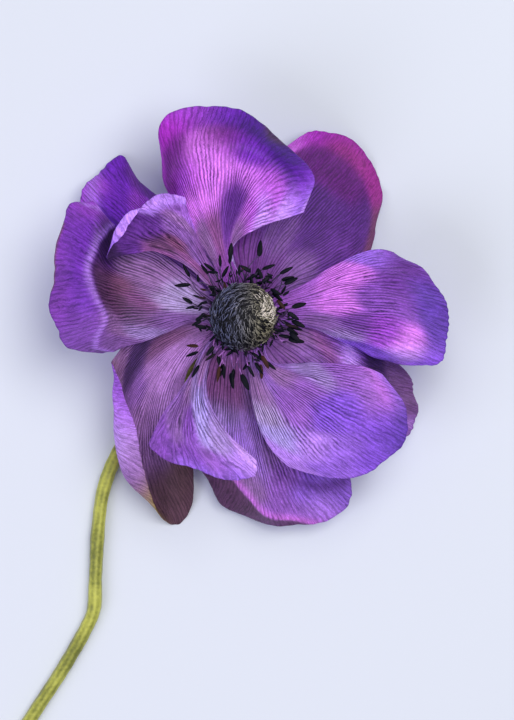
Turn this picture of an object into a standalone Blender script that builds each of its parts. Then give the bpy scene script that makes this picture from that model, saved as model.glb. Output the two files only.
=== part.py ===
"""An anemone (Anemone coronaria, the florists' garden anemone) as picked, lying face up on a table.

The flower is eleven loose, crinkled tepals in three whorls around a small receptacle, a dark domed
pistil head in the middle, a ring of thin stamens, and a bent green stem that comes out from under
the lower left tepals. Every piece that grew as one is one solid.

Lengths below are in millimetres in the flower's own frame: the origin is the middle of the
receptacle, +Z points out of the flower's face, and +Y is the top of the flower as it is looked at.
The last step stands the bottom centre of the whole flower on the world's origin.
"""
import math
import random

import bpy
import numpy as np
from mathutils import Vector
from mathutils.bvhtree import BVHTree

MM = 0.001

# Tepals. For each whorl, from the lowest up: the height at which its claws leave the receptacle,
# and the arc in degrees that each claw takes of it.
TEPAL_THICKNESS = 0.5
TEPAL_SPACING = 1.1
WHORL_HEIGHTS = (-2.0, -1.1, -0.2)
CLAW_RADIUS = 4.65
CLAW_ARCS = (54, 66, 66)
CELLS_ACROSS = 10
CELLS_ALONG = 12
CORNER_ROUNDING = 0.1
SETTLING_PASSES = 4
FAR_BELOW = -100.0

# Receptacle, as radius and height pairs of a turned profile, and the pistil head's radii and
# heights. PISTIL_LEAN is how far its dome leans to +X for each unit of its height.
RECEPTACLE_PROFILE = ((1.7, -5.2), (2.1, -4.6), (3.4, -3.4), (4.25, -2.6), (4.3, -0.5),
                      (4.3, 1.9), (3.7, 2.7))
PISTIL_RADIUS = 6.9
PISTIL_WAIST = 3.4
PISTIL_BOTTOM = 3.3
PISTIL_BELLY = 5.3
PISTIL_TOP = 9.2
PISTIL_LEAN = 0.42
TURN_SEGMENTS = 20
UNDERSIDE_STEPS = 4
DOME_STEPS = 8

# Stamens: a lower ring that reaches far and an upper ring that stands steeper (tilt in degrees).
# A filament has its knee at these parts of its reach and rise, and an anther's shape is pairs of
# the part of its length and the part of its radius.
STAMENS_PER_RING = 22
STAMEN_SEED = 11
STAMEN_BEVEL = 1
FILAMENT_RADIUS = 0.22
KNEE_REACH = 0.45
KNEE_RISE = 0.4
ANTHER_LENGTH = 2.7
ANTHER_RADIUS = 0.6
ANTHER_SHAPE = ((0.12, 0.75), (0.4, 1.0), (0.75, 0.8), (1.0, 0.3))
REACH_CHANGE = 0.6
TILT_CHANGE = 8
RINGS = (
    {"base": 0.95, "reach": 11.6, "rise": 3.3, "tilt": 20, "turn": 0.0},
    {"base": 1.75, "reach": 8.6, "rise": 4.2, "tilt": 50, "turn": 0.5},
)

# Stem: the points of its middle, chosen so that it lies on the table from the second bend on.
STEM_RADIUS = 1.5
STEM_ROUTE = (
    (0.0, 0.0, -5.5), (-0.6, -0.6, -8.3), (-5.0, -4.6, -11.6), (-12.0, -11.5, -12.6),
    (-20.0, -20.0, -12.85), (-26.8, -29.0, -12.85), (-29.8, -36.5, -12.85),
    (-31.0, -45.0, -12.85), (-31.6, -55.5, -12.85), (-33.2, -65.5, -12.85),
    (-38.5, -75.0, -12.85), (-45.0, -85.0, -12.85), (-55.0, -101.0, -12.85), (-67.0, -119.0, -12.85),
)
STEM_STATIONS = 34
STEM_BEVEL = 3

# The tepals, front ones first. Each has the bearing of its claw (degrees from +X, anticlockwise),
# its whorl (2 is the innermost) and its ribs. A rib runs from the claw to the margin, and the
# ribs go clockwise round the flower, so that the first and the last one are the two sides.
TEPALS = {
    "tepal_upper_left": (142, 2, (
        ((-8, 7, 1.5), (-15, 12.5, 3.5), (-21, 13.5, 6), (-26.5, 12, 8), (-30, 10, 9)),
        ((-7.5, 8, 1.8), (-14.5, 14, 4.5), (-21, 16, 8), (-26.3, 17.5, 12), (-26, 15, 13.3)),
        ((-7.5, 9, 2), (-13.5, 15.5, 5), (-19, 19, 9), (-23.2, 21.5, 13), (-22.5, 19.5, 14)),
        ((-7.5, 9.5, 2), (-12.5, 17, 5), (-16, 20.5, 9), (-18.7, 22.5, 12.5), (-20, 24, 12)),
        ((-7, 10.5, 1.9), (-11, 17.5, 4.5), (-13.5, 21.5, 8), (-15, 24, 11.2), (-15.7, 25.5, 10.6)),
        ((-7, 11.5, 1.5), (-9.5, 17, 3.5), (-11, 21, 6.5), (-12, 24.3, 9), (-12.3, 26, 8.4)),
    )),
    "tepal_lower_front": (222, 2, (
        ((-6, -7.5, 1.6), (-7.5, -15, 5), (-4, -23, 8), (5.5, -32, 8.8)),
        ((-6.5, -7, 2.1), (-9, -15.5, 6), (-7, -24.5, 9), (1.5, -33.8, 8)),
        ((-7.5, -7, 2.3), (-10.5, -15.5, 6), (-10.5, -25, 9), (-6, -32.5, 7)),
        ((-8, -6.5, 2.1), (-11.5, -15, 5.5), (-14, -23.5, 8.5), (-13.5, -30, 7)),
        ((-7.8, -6.8, 1.6), (-12.5, -14.5, 4.5), (-16.5, -20, 7.5), (-20.7, -28.5, 8)),
    )),
    "tepal_lower_right": (305, 2, (
        ((5.5, -9, 1.4), (15.5, -9.5, 5), (25.5, -10.5, 7), (31.5, -13.5, 6)),
        ((5.5, -9.5, 1.6), (15.5, -13, 5.5), (25, -15.5, 8), (35, -19.5, 5.5)),
        ((5, -10.5, 1.8), (14, -16.5, 5.5), (22.5, -21.5, 7.5), (33.5, -27, 5)),
        ((4.5, -11.5, 1.8), (12, -19.5, 5.5), (19, -25.5, 7), (28.5, -31.5, 5)),
        ((3.5, -12, 1.8), (8.5, -21.5, 5), (14, -28, 6.5), (21.5, -33.5, 5)),
        ((1.5, -12.5, 1.6), (4, -21.5, 4.5), (8.5, -28, 6), (14.5, -33, 5)),
    )),
    "tepal_top": (100, 1, (
        ((-7, 12.5, 0), (-12.5, 20, 3.5), (-16, 26.5, 6.5), (-17.5, 32, 6)),
        ((-6, 14, 0.5), (-10.5, 23.5, 4.5), (-14.5, 32.5, 8.5), (-17, 41, 6.5)),
        ((-5, 15, 0.7), (-7.5, 25.5, 5.5), (-9.5, 35, 9.5), (-7, 44, 4)),
        ((-4, 15.5, 0.7), (-3.5, 26.5, 5.5), (-2.5, 35.5, 9.5), (0, 43, 3)),
        ((-3, 15.5, 0.5), (0, 26, 4), (4.5, 33.5, 8.5), (8.5, 37, 2.5)),
        ((-2.5, 14.5, 0.3), (2.5, 23, 3), (9.5, 27.5, 7.5), (15.5, 29, 5)),
        ((-2.5, 14, 0.5), (3, 18.5, 4.5), (9.5, 20.5, 7.5), (15.5, 22.5, 7)),
    )),
    "tepal_left": (180, 1, (
        ((-10, -1, -0.3), (-16.5, -3.5, 0.3), (-21.5, -5.5, 1), (-27.5, -7, 2.5), (-30.5, -8, 2)),
        ((-10.5, 0, 0), (-18.5, -1.5, 0.6), (-25, -2.5, 2), (-29, -3, 6.5), (-37, -5, 3.5)),
        ((-10.5, 1.5, 0.2), (-19, 2, 0.7), (-26.5, 2.5, 2.5), (-30.5, 2.5, 8.5), (-40.5, 1, 4)),
        ((-10.5, 2.5, 0.3), (-19.5, 5, 0.7), (-27.5, 7, 2.8), (-32.5, 8.5, 9.5), (-39.5, 9.5, 4.5)),
        ((-10.5, 4, 0.3), (-18.5, 8.5, 0.5), (-27, 11.5, 2.5), (-31, 17, 9), (-38, 22, 4)),
        ((-9, 7, 0), (-17.5, 13.5, 0), (-26.5, 18, 1.5), (-30, 23, 7.5), (-34, 26, 4)),
    )),
    "tepal_right": (8, 1, (
        ((12, 6.5, 0.5), (19.5, 11, 3), (26.5, 13.5, 4), (33.5, 11.5, 2)),
        ((13, 5, 0.7), (22, 8, 4), (31, 9, 5.5), (39, 5.5, 2.5)),
        ((13.5, 3, 0.9), (23, 4, 3.5), (33, 3.5, 4.5), (42.5, 0, 2)),
        ((14, 1, 0.9), (23, 0, 3), (33.5, -1.5, 4.5), (43, -5, 2.5)),
        ((13.5, -1, 0.7), (22.5, -3.5, 3), (31.5, -6.5, 5), (41, -10.5, 3)),
        ((13, -2, 0.3), (20.5, -5, 1.5), (28, -8.5, 2), (35.5, -10.5, 2)),
    )),
    "tepal_upper_right": (58, 0, (
        ((-4, 12, -2.5), (-1, 22, -4), (6, 32.5, -7), (10, 38.5, -10)),
        ((2.5, 16.5, -3), (7, 26, -5.5), (12, 34.5, -8.5), (16, 40.5, -11)),
        ((5.5, 16.5, -3.2), (11.5, 26.5, -6.5), (18, 34, -10), (22, 39, -12.5)),
        ((8.5, 14, -3.2), (17, 22.5, -7), (23.5, 28.5, -11), (27.5, 33.5, -13.6)),
        ((10.5, 11, -3), (19.5, 16.5, -6), (26, 22, -10.5), (30, 28, -14.1)),
        ((12.5, 5.5, -2.6), (20, 7.5, -4.5), (26.5, 13, -8), (29, 21.5, -12)),
    )),
    "tepal_upper_left_back": (130, 0, (
        ((-9, 4, -2), (-18, 9, -3), (-27, 16, -4.5), (-35.5, 25.5, -9)),
        ((-7.5, 7, -2), (-15.5, 14, -3.5), (-23.5, 23, -6), (-29.3, 31.2, -12)),
        ((-6.5, 8, -2), (-14, 16.5, -3.7), (-21.5, 25, -7), (-26.6, 34.9, -14)),
        ((-6, 9.5, -2), (-12.5, 17.5, -3.7), (-19.5, 25, -7), (-24, 31.8, -12.5)),
        ((-4, 11, -2), (-9, 18, -3.5), (-13.5, 23, -6), (-18.5, 24.5, -8)),
    )),
    "tepal_lower_left": (205, 0, (
        ((-9.2, -6.3, -2), (-12.5, -11, -2.8), (-12.5, -19.5, -5), (-11.5, -26, -8), (-9.5, -33.5, -11.5)),
        ((-9.5, -5.5, -2), (-14.5, -13, -3), (-16.5, -23, -6), (-14.5, -33.5, -10), (-10.5, -42, -13.6)),
        ((-10.5, -5, -2), (-17, -13, -3), (-20, -24, -6), (-19, -34.5, -10), (-15, -44.5, -14.1)),
        ((-12, -5, -2), (-19, -12.5, -2.8), (-23.5, -21.5, -4.5), (-25, -34, -6.5), (-19.5, -38, -5.5)),
        ((-12.5, -4.5, -2), (-20.5, -11, -2.5), (-25, -19, -3.5), (-26.7, -26, -3), (-21, -29, -1)),
        ((-13.5, -3, -1.9), (-21.5, -7.5, -2), (-26, -14.5, -2.5), (-27.2, -17.5, -1.5), (-23.5, -18.5, 1)),
        ((-13.5, -1, -1.8), (-20.5, -3, -1.5), (-25, -5.5, -1.5), (-27, -9.5, -0.5), (-25.5, -10.5, 1.5)),
    )),
    "tepal_bottom": (268, 0, (
        ((4, -9.5, -2.4), (11, -19.5, -4), (18.5, -28, -7), (25.5, -35, -9)),
        ((2.5, -10.5, -2.2), (9, -22.5, -3.5), (15, -32.5, -6.5), (23, -41, -9.5)),
        ((1.5, -11.5, -2), (5.5, -24, -3), (10, -36.5, -6), (15.5, -44, -10)),
        ((-0.5, -11.5, -2), (2, -25, -3), (5.5, -41, -6.5), (7, -44, -10)),
        ((-2, -11, -2), (-1.5, -24, -3.5), (0, -37, -7), (-2.5, -42, -12.5)),
        ((-6, -9.5, -2.4), (-9, -20.5, -5.5), (-10.5, -28, -9), (-9.2, -34, -12.5)),
    )),
    "tepal_right_back": (330, 0, (
        ((11.5, 1, -2), (20.5, -1.5, -2), (28.5, -5.5, -3), (33.5, -10, -5)),
        ((12, -2.5, -2), (21, -6, -2.5), (29, -10.5, -4), (36, -13, -6.5)),
        ((11.5, -5.5, -2), (20, -10.5, -3), (28.5, -15, -5), (37, -18, -7.5)),
        ((10.5, -8, -2.2), (18, -14, -3.5), (26, -19.5, -6), (37, -23, -8.5)),
        ((6, -11, -2.4), (12.5, -17.5, -4), (21, -24, -7), (33.5, -29, -9)),
    )),
}


def clear_scene():
    for item in list(bpy.data.objects):
        bpy.data.objects.remove(item, do_unlink=True)


def make_material(name, color, roughness):
    material = bpy.data.materials.new(name)
    material.use_nodes = True
    shader = material.node_tree.nodes["Principled BSDF"]
    shader.inputs["Base Color"].default_value = (*color, 1.0)
    shader.inputs["Roughness"].default_value = roughness
    shader.inputs["Metallic"].default_value = 0.0
    return material


def add_piece(name, data, material, root):
    """Link one named sub-part to the scene, under the flower's root empty."""
    data.materials.append(material)
    piece = bpy.data.objects.new(name, data)
    bpy.context.scene.collection.objects.link(piece)
    piece.parent = root
    return piece


def smooth(points, stations):
    """Read the smooth curve through points (first axis) at stations from 0 to 1."""
    points = np.asarray(points, dtype=float)
    steps = np.diff(points, axis=0)
    lengths = np.sqrt(np.linalg.norm(steps, axis=-1))
    lengths = lengths.reshape(len(steps), -1).mean(axis=1)
    knots = np.concatenate(([0.0], np.cumsum(lengths))) / lengths.sum()
    gaps = np.diff(knots).reshape((-1,) + (1,) * (points.ndim - 1))
    slopes = steps / gaps
    inner = (slopes[:-1] * gaps[1:] + slopes[1:] * gaps[:-1]) / (gaps[:-1] + gaps[1:])
    tangents = np.concatenate((slopes[:1], inner, slopes[-1:]))
    read = []
    for station in stations:
        span = min(int(np.searchsorted(knots, station, side="right")) - 1, len(steps) - 1)
        gap = knots[span + 1] - knots[span]
        t = (station - knots[span]) / gap
        start = (1 + 2 * t) * (1 - t) ** 2 * points[span] + t * (1 - t) ** 2 * gap * tangents[span]
        end = t * t * (3 - 2 * t) * points[span + 1] - t * t * (1 - t) * gap * tangents[span + 1]
        read.append(start + end)
    return np.array(read)


def tepal_grid(bearing, whorl, ribs):
    """The tepal's middle surface as a grid of points: across first, then along."""
    net = []
    for index, rib in enumerate(ribs):
        angle = math.radians(bearing + CLAW_ARCS[whorl] * (0.5 - index / (len(ribs) - 1)))
        claw = (CLAW_RADIUS * math.cos(angle), CLAW_RADIUS * math.sin(angle), WHORL_HEIGHTS[whorl])
        net.append((claw, *rib))
    across = np.linspace(0, 1, CELLS_ACROSS + 1)
    along = np.linspace(0, 1, CELLS_ALONG + 1)
    sides = smooth(net, across)
    grid = []
    for side, rib in zip(across, sides):
        reach = 1 - CORNER_ROUNDING * abs(2 * side - 1) ** 4
        grid.append(smooth(rib, along * reach))
    return np.array(grid)


def grid_faces(columns, rows):
    faces = []
    for i in range(columns - 1):
        for j in range(rows - 1):
            corner = i * rows + j
            faces.append((corner, corner + rows, corner + rows + 1, corner + 1))
    return faces


def spread(values):
    """The largest of each grid value and its neighbours."""
    padded = np.pad(values, 1, mode="edge")
    columns, rows = values.shape
    shifted = [padded[i:i + columns, j:j + rows] for i in range(3) for j in range(3)]
    return np.max(shifted, axis=0)


def softened(values):
    """Each grid value averaged with its neighbours."""
    padded = np.pad(values, 1, mode="edge")
    columns, rows = values.shape
    shifted = [padded[i:i + columns, j:j + rows] for i in range(3) for j in range(3)]
    return np.mean(shifted, axis=0)


def tucked_under(grid, front):
    """Lower the grid where it would touch the tepals in front of it, as they lie on each other."""
    drop = np.zeros(grid.shape[:2])
    for i, j in np.ndindex(drop.shape):
        x, y, z = grid[i, j]
        for tree in front:
            hit = tree.ray_cast(Vector((x, y, FAR_BELOW)), Vector((0, 0, 1)))[0]
            if hit is not None:
                drop[i, j] = max(drop[i, j], z - (hit.z - TEPAL_SPACING))
    need = spread(drop)
    settled = need
    for _ in range(SETTLING_PASSES):
        settled = np.maximum(drop, softened(settled))
    settled[:, 0] = 0.0
    lowered = grid.copy()
    lowered[:, :, 2] -= settled
    return lowered


def make_tepals(root):
    material = make_material("tepal", (0.17, 0.06, 0.30), 0.55)
    trees = []
    for name, (bearing, whorl, ribs) in TEPALS.items():
        grid = tucked_under(tepal_grid(bearing, whorl, ribs), trees)
        points = [Vector(point) for column in grid for point in column]
        faces = grid_faces(*grid.shape[:2])
        trees.append(BVHTree.FromPolygons(points, faces))
        mesh = bpy.data.meshes.new(name)
        mesh.from_pydata([point * MM for point in points], [], faces)
        piece = add_piece(name, mesh, material, root)
        mesh.shade_smooth()
        wall = piece.modifiers.new("wall", "SOLIDIFY")
        wall.thickness = TEPAL_THICKNESS * MM
        wall.offset = 0.0


def turned_mesh(name, profile, lean=0.0, lean_from=0.0):
    """A solid turned about +Z from radius and height pairs, bottom first.

    Above the height lean_from it leans towards +X, by lean for each unit of height.
    """
    points = []
    for radius, height in profile:
        shift = lean * max(height - lean_from, 0.0)
        for k in range(TURN_SEGMENTS):
            angle = math.tau * k / TURN_SEGMENTS
            place = (radius * math.cos(angle) + shift, radius * math.sin(angle), height)
            points.append(Vector(place) * MM)
    faces = [tuple(reversed(range(TURN_SEGMENTS)))]
    for ring in range(len(profile) - 1):
        for k in range(TURN_SEGMENTS):
            a = ring * TURN_SEGMENTS + k
            b = ring * TURN_SEGMENTS + (k + 1) % TURN_SEGMENTS
            faces.append((a, b, b + TURN_SEGMENTS, a + TURN_SEGMENTS))
    last = (len(profile) - 1) * TURN_SEGMENTS
    faces.append(tuple(range(last, last + TURN_SEGMENTS)))
    mesh = bpy.data.meshes.new(name)
    mesh.from_pydata(points, [], faces)
    mesh.shade_smooth()
    return mesh


def pistil_profile():
    """A low underside from the waist to the belly, then a dome."""
    profile = []
    for step in range(UNDERSIDE_STEPS):
        angle = math.pi / 2 * step / UNDERSIDE_STEPS
        radius = PISTIL_WAIST + (PISTIL_RADIUS - PISTIL_WAIST) * math.sin(angle)
        height = PISTIL_BELLY - (PISTIL_BELLY - PISTIL_BOTTOM) * math.cos(angle)
        profile.append((radius, height))
    for step in range(DOME_STEPS):
        angle = math.pi / 2 * step / DOME_STEPS
        radius = PISTIL_RADIUS * math.cos(angle)
        height = PISTIL_BELLY + (PISTIL_TOP - PISTIL_BELLY) * math.sin(angle)
        profile.append((radius, height))
    return profile


def make_centre(root):
    green = make_material("receptacle", (0.20, 0.26, 0.08), 0.6)
    dark = make_material("pistil", (0.015, 0.016, 0.028), 0.5)
    add_piece("receptacle", turned_mesh("receptacle", RECEPTACLE_PROFILE), green, root)
    head = turned_mesh("pistil", pistil_profile(), PISTIL_LEAN, PISTIL_BELLY)
    add_piece("pistil", head, dark, root)


def tube_curve(name, points, radii, bevel_level):
    """A closed tube along points, with its radius given at each of them."""
    curve = bpy.data.curves.new(name, "CURVE")
    curve.dimensions = "3D"
    curve.bevel_depth = MM
    curve.bevel_resolution = bevel_level
    curve.use_fill_caps = True
    spline = curve.splines.new("POLY")
    spline.points.add(len(points) - 1)
    for place, point, radius in zip(spline.points, points, radii):
        place.co = (*(Vector(point) * MM), 1.0)
        place.radius = radius
    return curve


def stamen_points(ring, turn, reach, tilt):
    """A filament that springs from the receptacle and an anther on its tip."""
    outward = np.array((math.cos(turn), math.sin(turn), 0.0))
    up = np.array((0.0, 0.0, 1.0))
    start = outward * CLAW_RADIUS + up * ring["base"]
    tip = outward * reach + up * (ring["base"] + ring["rise"])
    knee = start + outward * KNEE_REACH * (reach - CLAW_RADIUS) + up * KNEE_RISE * ring["rise"]
    way = outward * math.cos(tilt) + up * math.sin(tilt)
    points = [start, knee, tip]
    radii = [FILAMENT_RADIUS] * 3
    for length_part, radius_part in ANTHER_SHAPE:
        points.append(tip + way * ANTHER_LENGTH * length_part)
        radii.append(ANTHER_RADIUS * radius_part)
    return points, radii


def make_stamens(root):
    material = make_material("stamen", (0.02, 0.022, 0.05), 0.55)
    chance = random.Random(STAMEN_SEED)
    number = 0
    for ring in RINGS:
        for k in range(STAMENS_PER_RING):
            turn = math.tau * (k + ring["turn"]) / STAMENS_PER_RING
            reach = ring["reach"] + chance.uniform(-REACH_CHANGE, REACH_CHANGE)
            tilt = math.radians(ring["tilt"] + chance.uniform(-TILT_CHANGE, TILT_CHANGE))
            number += 1
            name = f"stamen_{number:02d}"
            points, radii = stamen_points(ring, turn, reach, tilt)
            curve = tube_curve(name, points, radii, STAMEN_BEVEL)
            add_piece(name, curve, material, root)


def make_stem(root):
    material = make_material("stem", (0.22, 0.25, 0.07), 0.5)
    points = smooth(STEM_ROUTE, np.linspace(0, 1, STEM_STATIONS))
    radii = [STEM_RADIUS] * len(points)
    add_piece("stem", tube_curve("stem", points, radii, STEM_BEVEL), material, root)


def stand_on_origin(root):
    """Move the flower so that the bottom centre of its box is the world's origin."""
    graph = bpy.context.evaluated_depsgraph_get()
    corners = []
    for piece in root.children:
        shape = piece.evaluated_get(graph).to_mesh()
        corners += [piece.matrix_world @ vertex.co for vertex in shape.vertices]
    low = [min(corner[axis] for corner in corners) for axis in range(3)]
    high = [max(corner[axis] for corner in corners) for axis in range(3)]
    root.location = (-(low[0] + high[0]) / 2, -(low[1] + high[1]) / 2, -low[2])


def main():
    clear_scene()
    root = bpy.data.objects.new("flower", None)
    bpy.context.scene.collection.objects.link(root)
    make_stem(root)
    make_centre(root)
    make_tepals(root)
    make_stamens(root)
    bpy.context.view_layer.update()
    stand_on_origin(root)
    bpy.context.view_layer.update()


main()
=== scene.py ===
# %% [markdown]
# # A violet garden anemone, lying face up
# A cut anemone with no vase lies down. This one rests on its bent stem and on the backs of its
# lowest tepals, and is looked at from straight above, face on. An anemone has no true petals: its
# coloured leaves are all of one kind, called tepals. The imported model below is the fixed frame:
# every piece made here lies where its node lies, and stands in for it.

# %% Load the frame
import math
import random

import bpy
import numpy as np
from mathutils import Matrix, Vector
from mathutils.bvhtree import BVHTree


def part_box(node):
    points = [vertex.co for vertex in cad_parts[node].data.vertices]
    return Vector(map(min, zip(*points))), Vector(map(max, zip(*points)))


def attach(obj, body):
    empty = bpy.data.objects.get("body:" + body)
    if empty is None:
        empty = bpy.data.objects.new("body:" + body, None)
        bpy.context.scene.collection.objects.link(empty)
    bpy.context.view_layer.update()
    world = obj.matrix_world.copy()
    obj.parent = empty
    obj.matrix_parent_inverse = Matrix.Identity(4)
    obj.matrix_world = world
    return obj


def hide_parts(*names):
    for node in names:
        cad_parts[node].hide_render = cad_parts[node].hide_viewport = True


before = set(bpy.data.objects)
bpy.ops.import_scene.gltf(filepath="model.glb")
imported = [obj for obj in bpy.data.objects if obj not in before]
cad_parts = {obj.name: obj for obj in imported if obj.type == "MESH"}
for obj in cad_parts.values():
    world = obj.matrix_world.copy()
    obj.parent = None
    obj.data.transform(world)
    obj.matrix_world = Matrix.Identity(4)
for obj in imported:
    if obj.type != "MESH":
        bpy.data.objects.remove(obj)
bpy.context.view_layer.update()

MM = 0.001
print("nodes in the frame:", len(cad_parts))

# %% [markdown]
# ## Where the flower's middle is
# All the shapes below are written in millimetres round the middle of the receptacle, with +Z out of
# the flower's face. The receptacle's own box says where that middle is in the frame.

# %% The flower's middle
RECEPTACLE_LOW = -5.2
low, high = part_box("receptacle")
MIDDLE = np.array(((low[0] + high[0]) / 2, (low[1] + high[1]) / 2, low[2] - RECEPTACLE_LOW * MM))


def placed(points):
    """Flower millimetres to metres in the frame."""
    return np.asarray(points, dtype=float) * MM + MIDDLE


print("middle of the flower, in metres:", MIDDLE.round(4).tolist())

# %% [markdown]
# ## Camera, table and light
# The flower faces the camera, which hangs straight over it on a long lens, so that the tepals that
# stand up hardly grow. The light is a studio's: one big soft lamp high on the upper right, which
# models the folds, a weaker one on the lower left, and a pale room all round.

# %% Camera
CAMERA_HEIGHT = 700.0
VIEW_CENTRE = (2.94, -9.03)
VIEW_WIDTH = 107.94
SENSOR = 36.0
CLIP_NEAR = 0.01
CLIP_FAR = 20

lens = bpy.data.cameras.new("overhead")
lens.sensor_fit = "HORIZONTAL"
lens.sensor_width = SENSOR
lens.lens = SENSOR * CAMERA_HEIGHT / VIEW_WIDTH
lens.clip_start = CLIP_NEAR
lens.clip_end = CLIP_FAR
camera = bpy.data.objects.new("overhead", lens)
camera.location = placed((*VIEW_CENTRE, CAMERA_HEIGHT))
bpy.context.scene.collection.objects.link(camera)
bpy.context.scene.camera = camera
print("lens, in millimetres:", round(lens.lens, 1))

# %% Table and lamps
def linear(code):
    """A colour code such as '#8E5CE4' as the linear numbers that shaders take."""
    parts = [int(code[k:k + 2], 16) / 255 for k in (1, 3, 5)]
    return tuple(p / 12.92 if p <= 0.04045 else ((p + 0.055) / 1.055) ** 2.4 for p in parts)


def lamp(name, place, size, power, color):
    """A square lamp, places in flower millimetres, that shines at the flower's middle."""
    light = bpy.data.lights.new(name, "AREA")
    light.size = size
    light.energy = power
    light.color = linear(color)
    item = bpy.data.objects.new(name, light)
    item.location = placed(place)
    aim = Vector(MIDDLE) - item.location
    item.rotation_euler = aim.to_track_quat("-Z", "Y").to_euler()
    bpy.context.scene.collection.objects.link(item)


lamp("key", (240, 210, 700), 0.60, 5.0, "#FFFBF6")
lamp("fill", (-420, -380, 480), 0.50, 2.6, "#F2EEFF")

ROOM_COLOR = "#EDEAF8"
ROOM_STRENGTH = 0.34
room = bpy.data.worlds.new("pale room")
room.use_nodes = True
air = room.node_tree.nodes["Background"]
air.inputs["Color"].default_value = (*linear(ROOM_COLOR), 1.0)
air.inputs["Strength"].default_value = ROOM_STRENGTH
bpy.context.scene.world = room

FLOOR_SIZE = 6.0
PAPER_COLOR = "#D6DEE8"
PAPER_ROUGHNESS = 0.9
floor_mesh = bpy.data.meshes.new("table")
half = FLOOR_SIZE / 2
floor_mesh.from_pydata([(-half, -half, 0), (half, -half, 0), (half, half, 0), (-half, half, 0)],
                       [], [(0, 1, 2, 3)])
table = bpy.data.objects.new("table", floor_mesh)
bpy.context.scene.collection.objects.link(table)
paper = bpy.data.materials.new("pale table")
paper.use_nodes = True
paper_shader = paper.node_tree.nodes["Principled BSDF"]
paper_shader.inputs["Base Color"].default_value = (*linear(PAPER_COLOR), 1.0)
paper_shader.inputs["Roughness"].default_value = PAPER_ROUGHNESS
floor_mesh.materials.append(paper)
bpy.context.scene.view_settings.view_transform = "Standard"
print("lamps: 2, table:", FLOOR_SIZE, "m")

# %% [markdown]
# ## Writing node trees as formulas
# Both the finishes and the repeating shapes are node trees. Written node by node they are long, so
# this small helper adds a node and hands back its output, which lets a tree read like a sum. The
# same helper serves shader trees and Geometry Nodes.

# %% The tree writer
class Nodes:
    """Adds nodes to a tree. An input is named as on the node, with _ for a space, or by _number."""

    def __init__(self, tree):
        self.tree = tree

    def add(self, kind, output=0, settings=None, **inputs):
        node = self.tree.nodes.new(kind)
        for name, value in (settings or {}).items():
            setattr(node, name, value)
        for name, value in inputs.items():
            place = int(name[1:]) if name[0] == "_" else name.replace("_", " ")
            self.feed(node.inputs[place], value)
        return node.outputs[output]

    def feed(self, socket, value):
        if isinstance(value, bpy.types.NodeSocket):
            self.tree.links.new(value, socket)
        elif isinstance(value, (list, tuple)) and value and isinstance(value[0], bpy.types.NodeSocket):
            for item in value:
                self.tree.links.new(item, socket)
        else:
            socket.default_value = value

    def math(self, operation, *values):
        inputs = {f"_{place}": value for place, value in enumerate(values)}
        return self.add("ShaderNodeMath", settings={"operation": operation}, **inputs)

    def total(self, *values):
        result = values[0]
        for value in values[1:]:
            result = self.math("ADD", result, value)
        return result

    def times(self, *values):
        result = values[0]
        for value in values[1:]:
            result = self.math("MULTIPLY", result, value)
        return result

    def step(self, value, start, stop, low=0.0, high=1.0):
        """A soft step from low to high as value goes from start to stop."""
        return self.add("ShaderNodeMapRange", settings={"interpolation_type": "SMOOTHSTEP"}, Value=value,
                        From_Min=start, From_Max=stop, To_Min=low, To_Max=high)

    def vector(self, x=0.0, y=0.0, z=0.0):
        return self.add("ShaderNodeCombineXYZ", X=x, Y=y, Z=z)

    def noise(self, place, scale, detail=2.0, roughness=0.5):
        return self.add("ShaderNodeTexNoise", Vector=place, Scale=scale, Detail=detail,
                        Roughness=roughness)

    def blend(self, part, first, second, mode="MIX"):
        """Two colours mixed by part, from 0 to 1."""
        return self.add("ShaderNodeMix", 2, {"data_type": "RGBA", "blend_type": mode},
                        _0=part, _6=first, _7=second)


print("tree writer ready")


# %% Starting and ending a tree
def new_material(name):
    """A material with a Principled shader, its node writer and that shader."""
    material = bpy.data.materials.new(name)
    material.use_nodes = True
    return material, Nodes(material.node_tree), material.node_tree.nodes["Principled BSDF"]


def new_growth(name, **inputs):
    """An empty Geometry Nodes tree with named inputs: its tree, writer, inputs and output socket."""
    tree = bpy.data.node_groups.new(name, "GeometryNodeTree")
    tree.interface.new_socket("Geometry", in_out="INPUT", socket_type="NodeSocketGeometry")
    for label, value in inputs.items():
        kind = "NodeSocketMaterial" if isinstance(value, bpy.types.Material) else "NodeSocketFloat"
        kind = "NodeSocketInt" if isinstance(value, int) else kind
        socket = tree.interface.new_socket(label.replace("_", " "), in_out="INPUT", socket_type=kind)
        socket.default_value = value
    tree.interface.new_socket("Geometry", in_out="OUTPUT", socket_type="NodeSocketGeometry")
    entry = tree.nodes.new("NodeGroupInput")
    leave = tree.nodes.new("NodeGroupOutput")
    given = {socket.name: socket for socket in entry.outputs if socket.name}
    return tree, Nodes(tree), given, leave.inputs[0]


def read_attribute(nodes, name, kind="FLOAT"):
    """The named attribute in a Geometry Nodes tree."""
    node = nodes.add("GeometryNodeInputNamedAttribute", 0, {"data_type": kind}, Name=name).node
    return next(socket for socket in node.outputs if socket.enabled)


def finish_growth(nodes, geometry, material, leave):
    """End a tree of one material: instances made real, then the material."""
    real = nodes.add("GeometryNodeRealizeInstances", Geometry=geometry)
    nodes.feed(leave, nodes.add("GeometryNodeSetMaterial", Geometry=real, Material=material))


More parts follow.
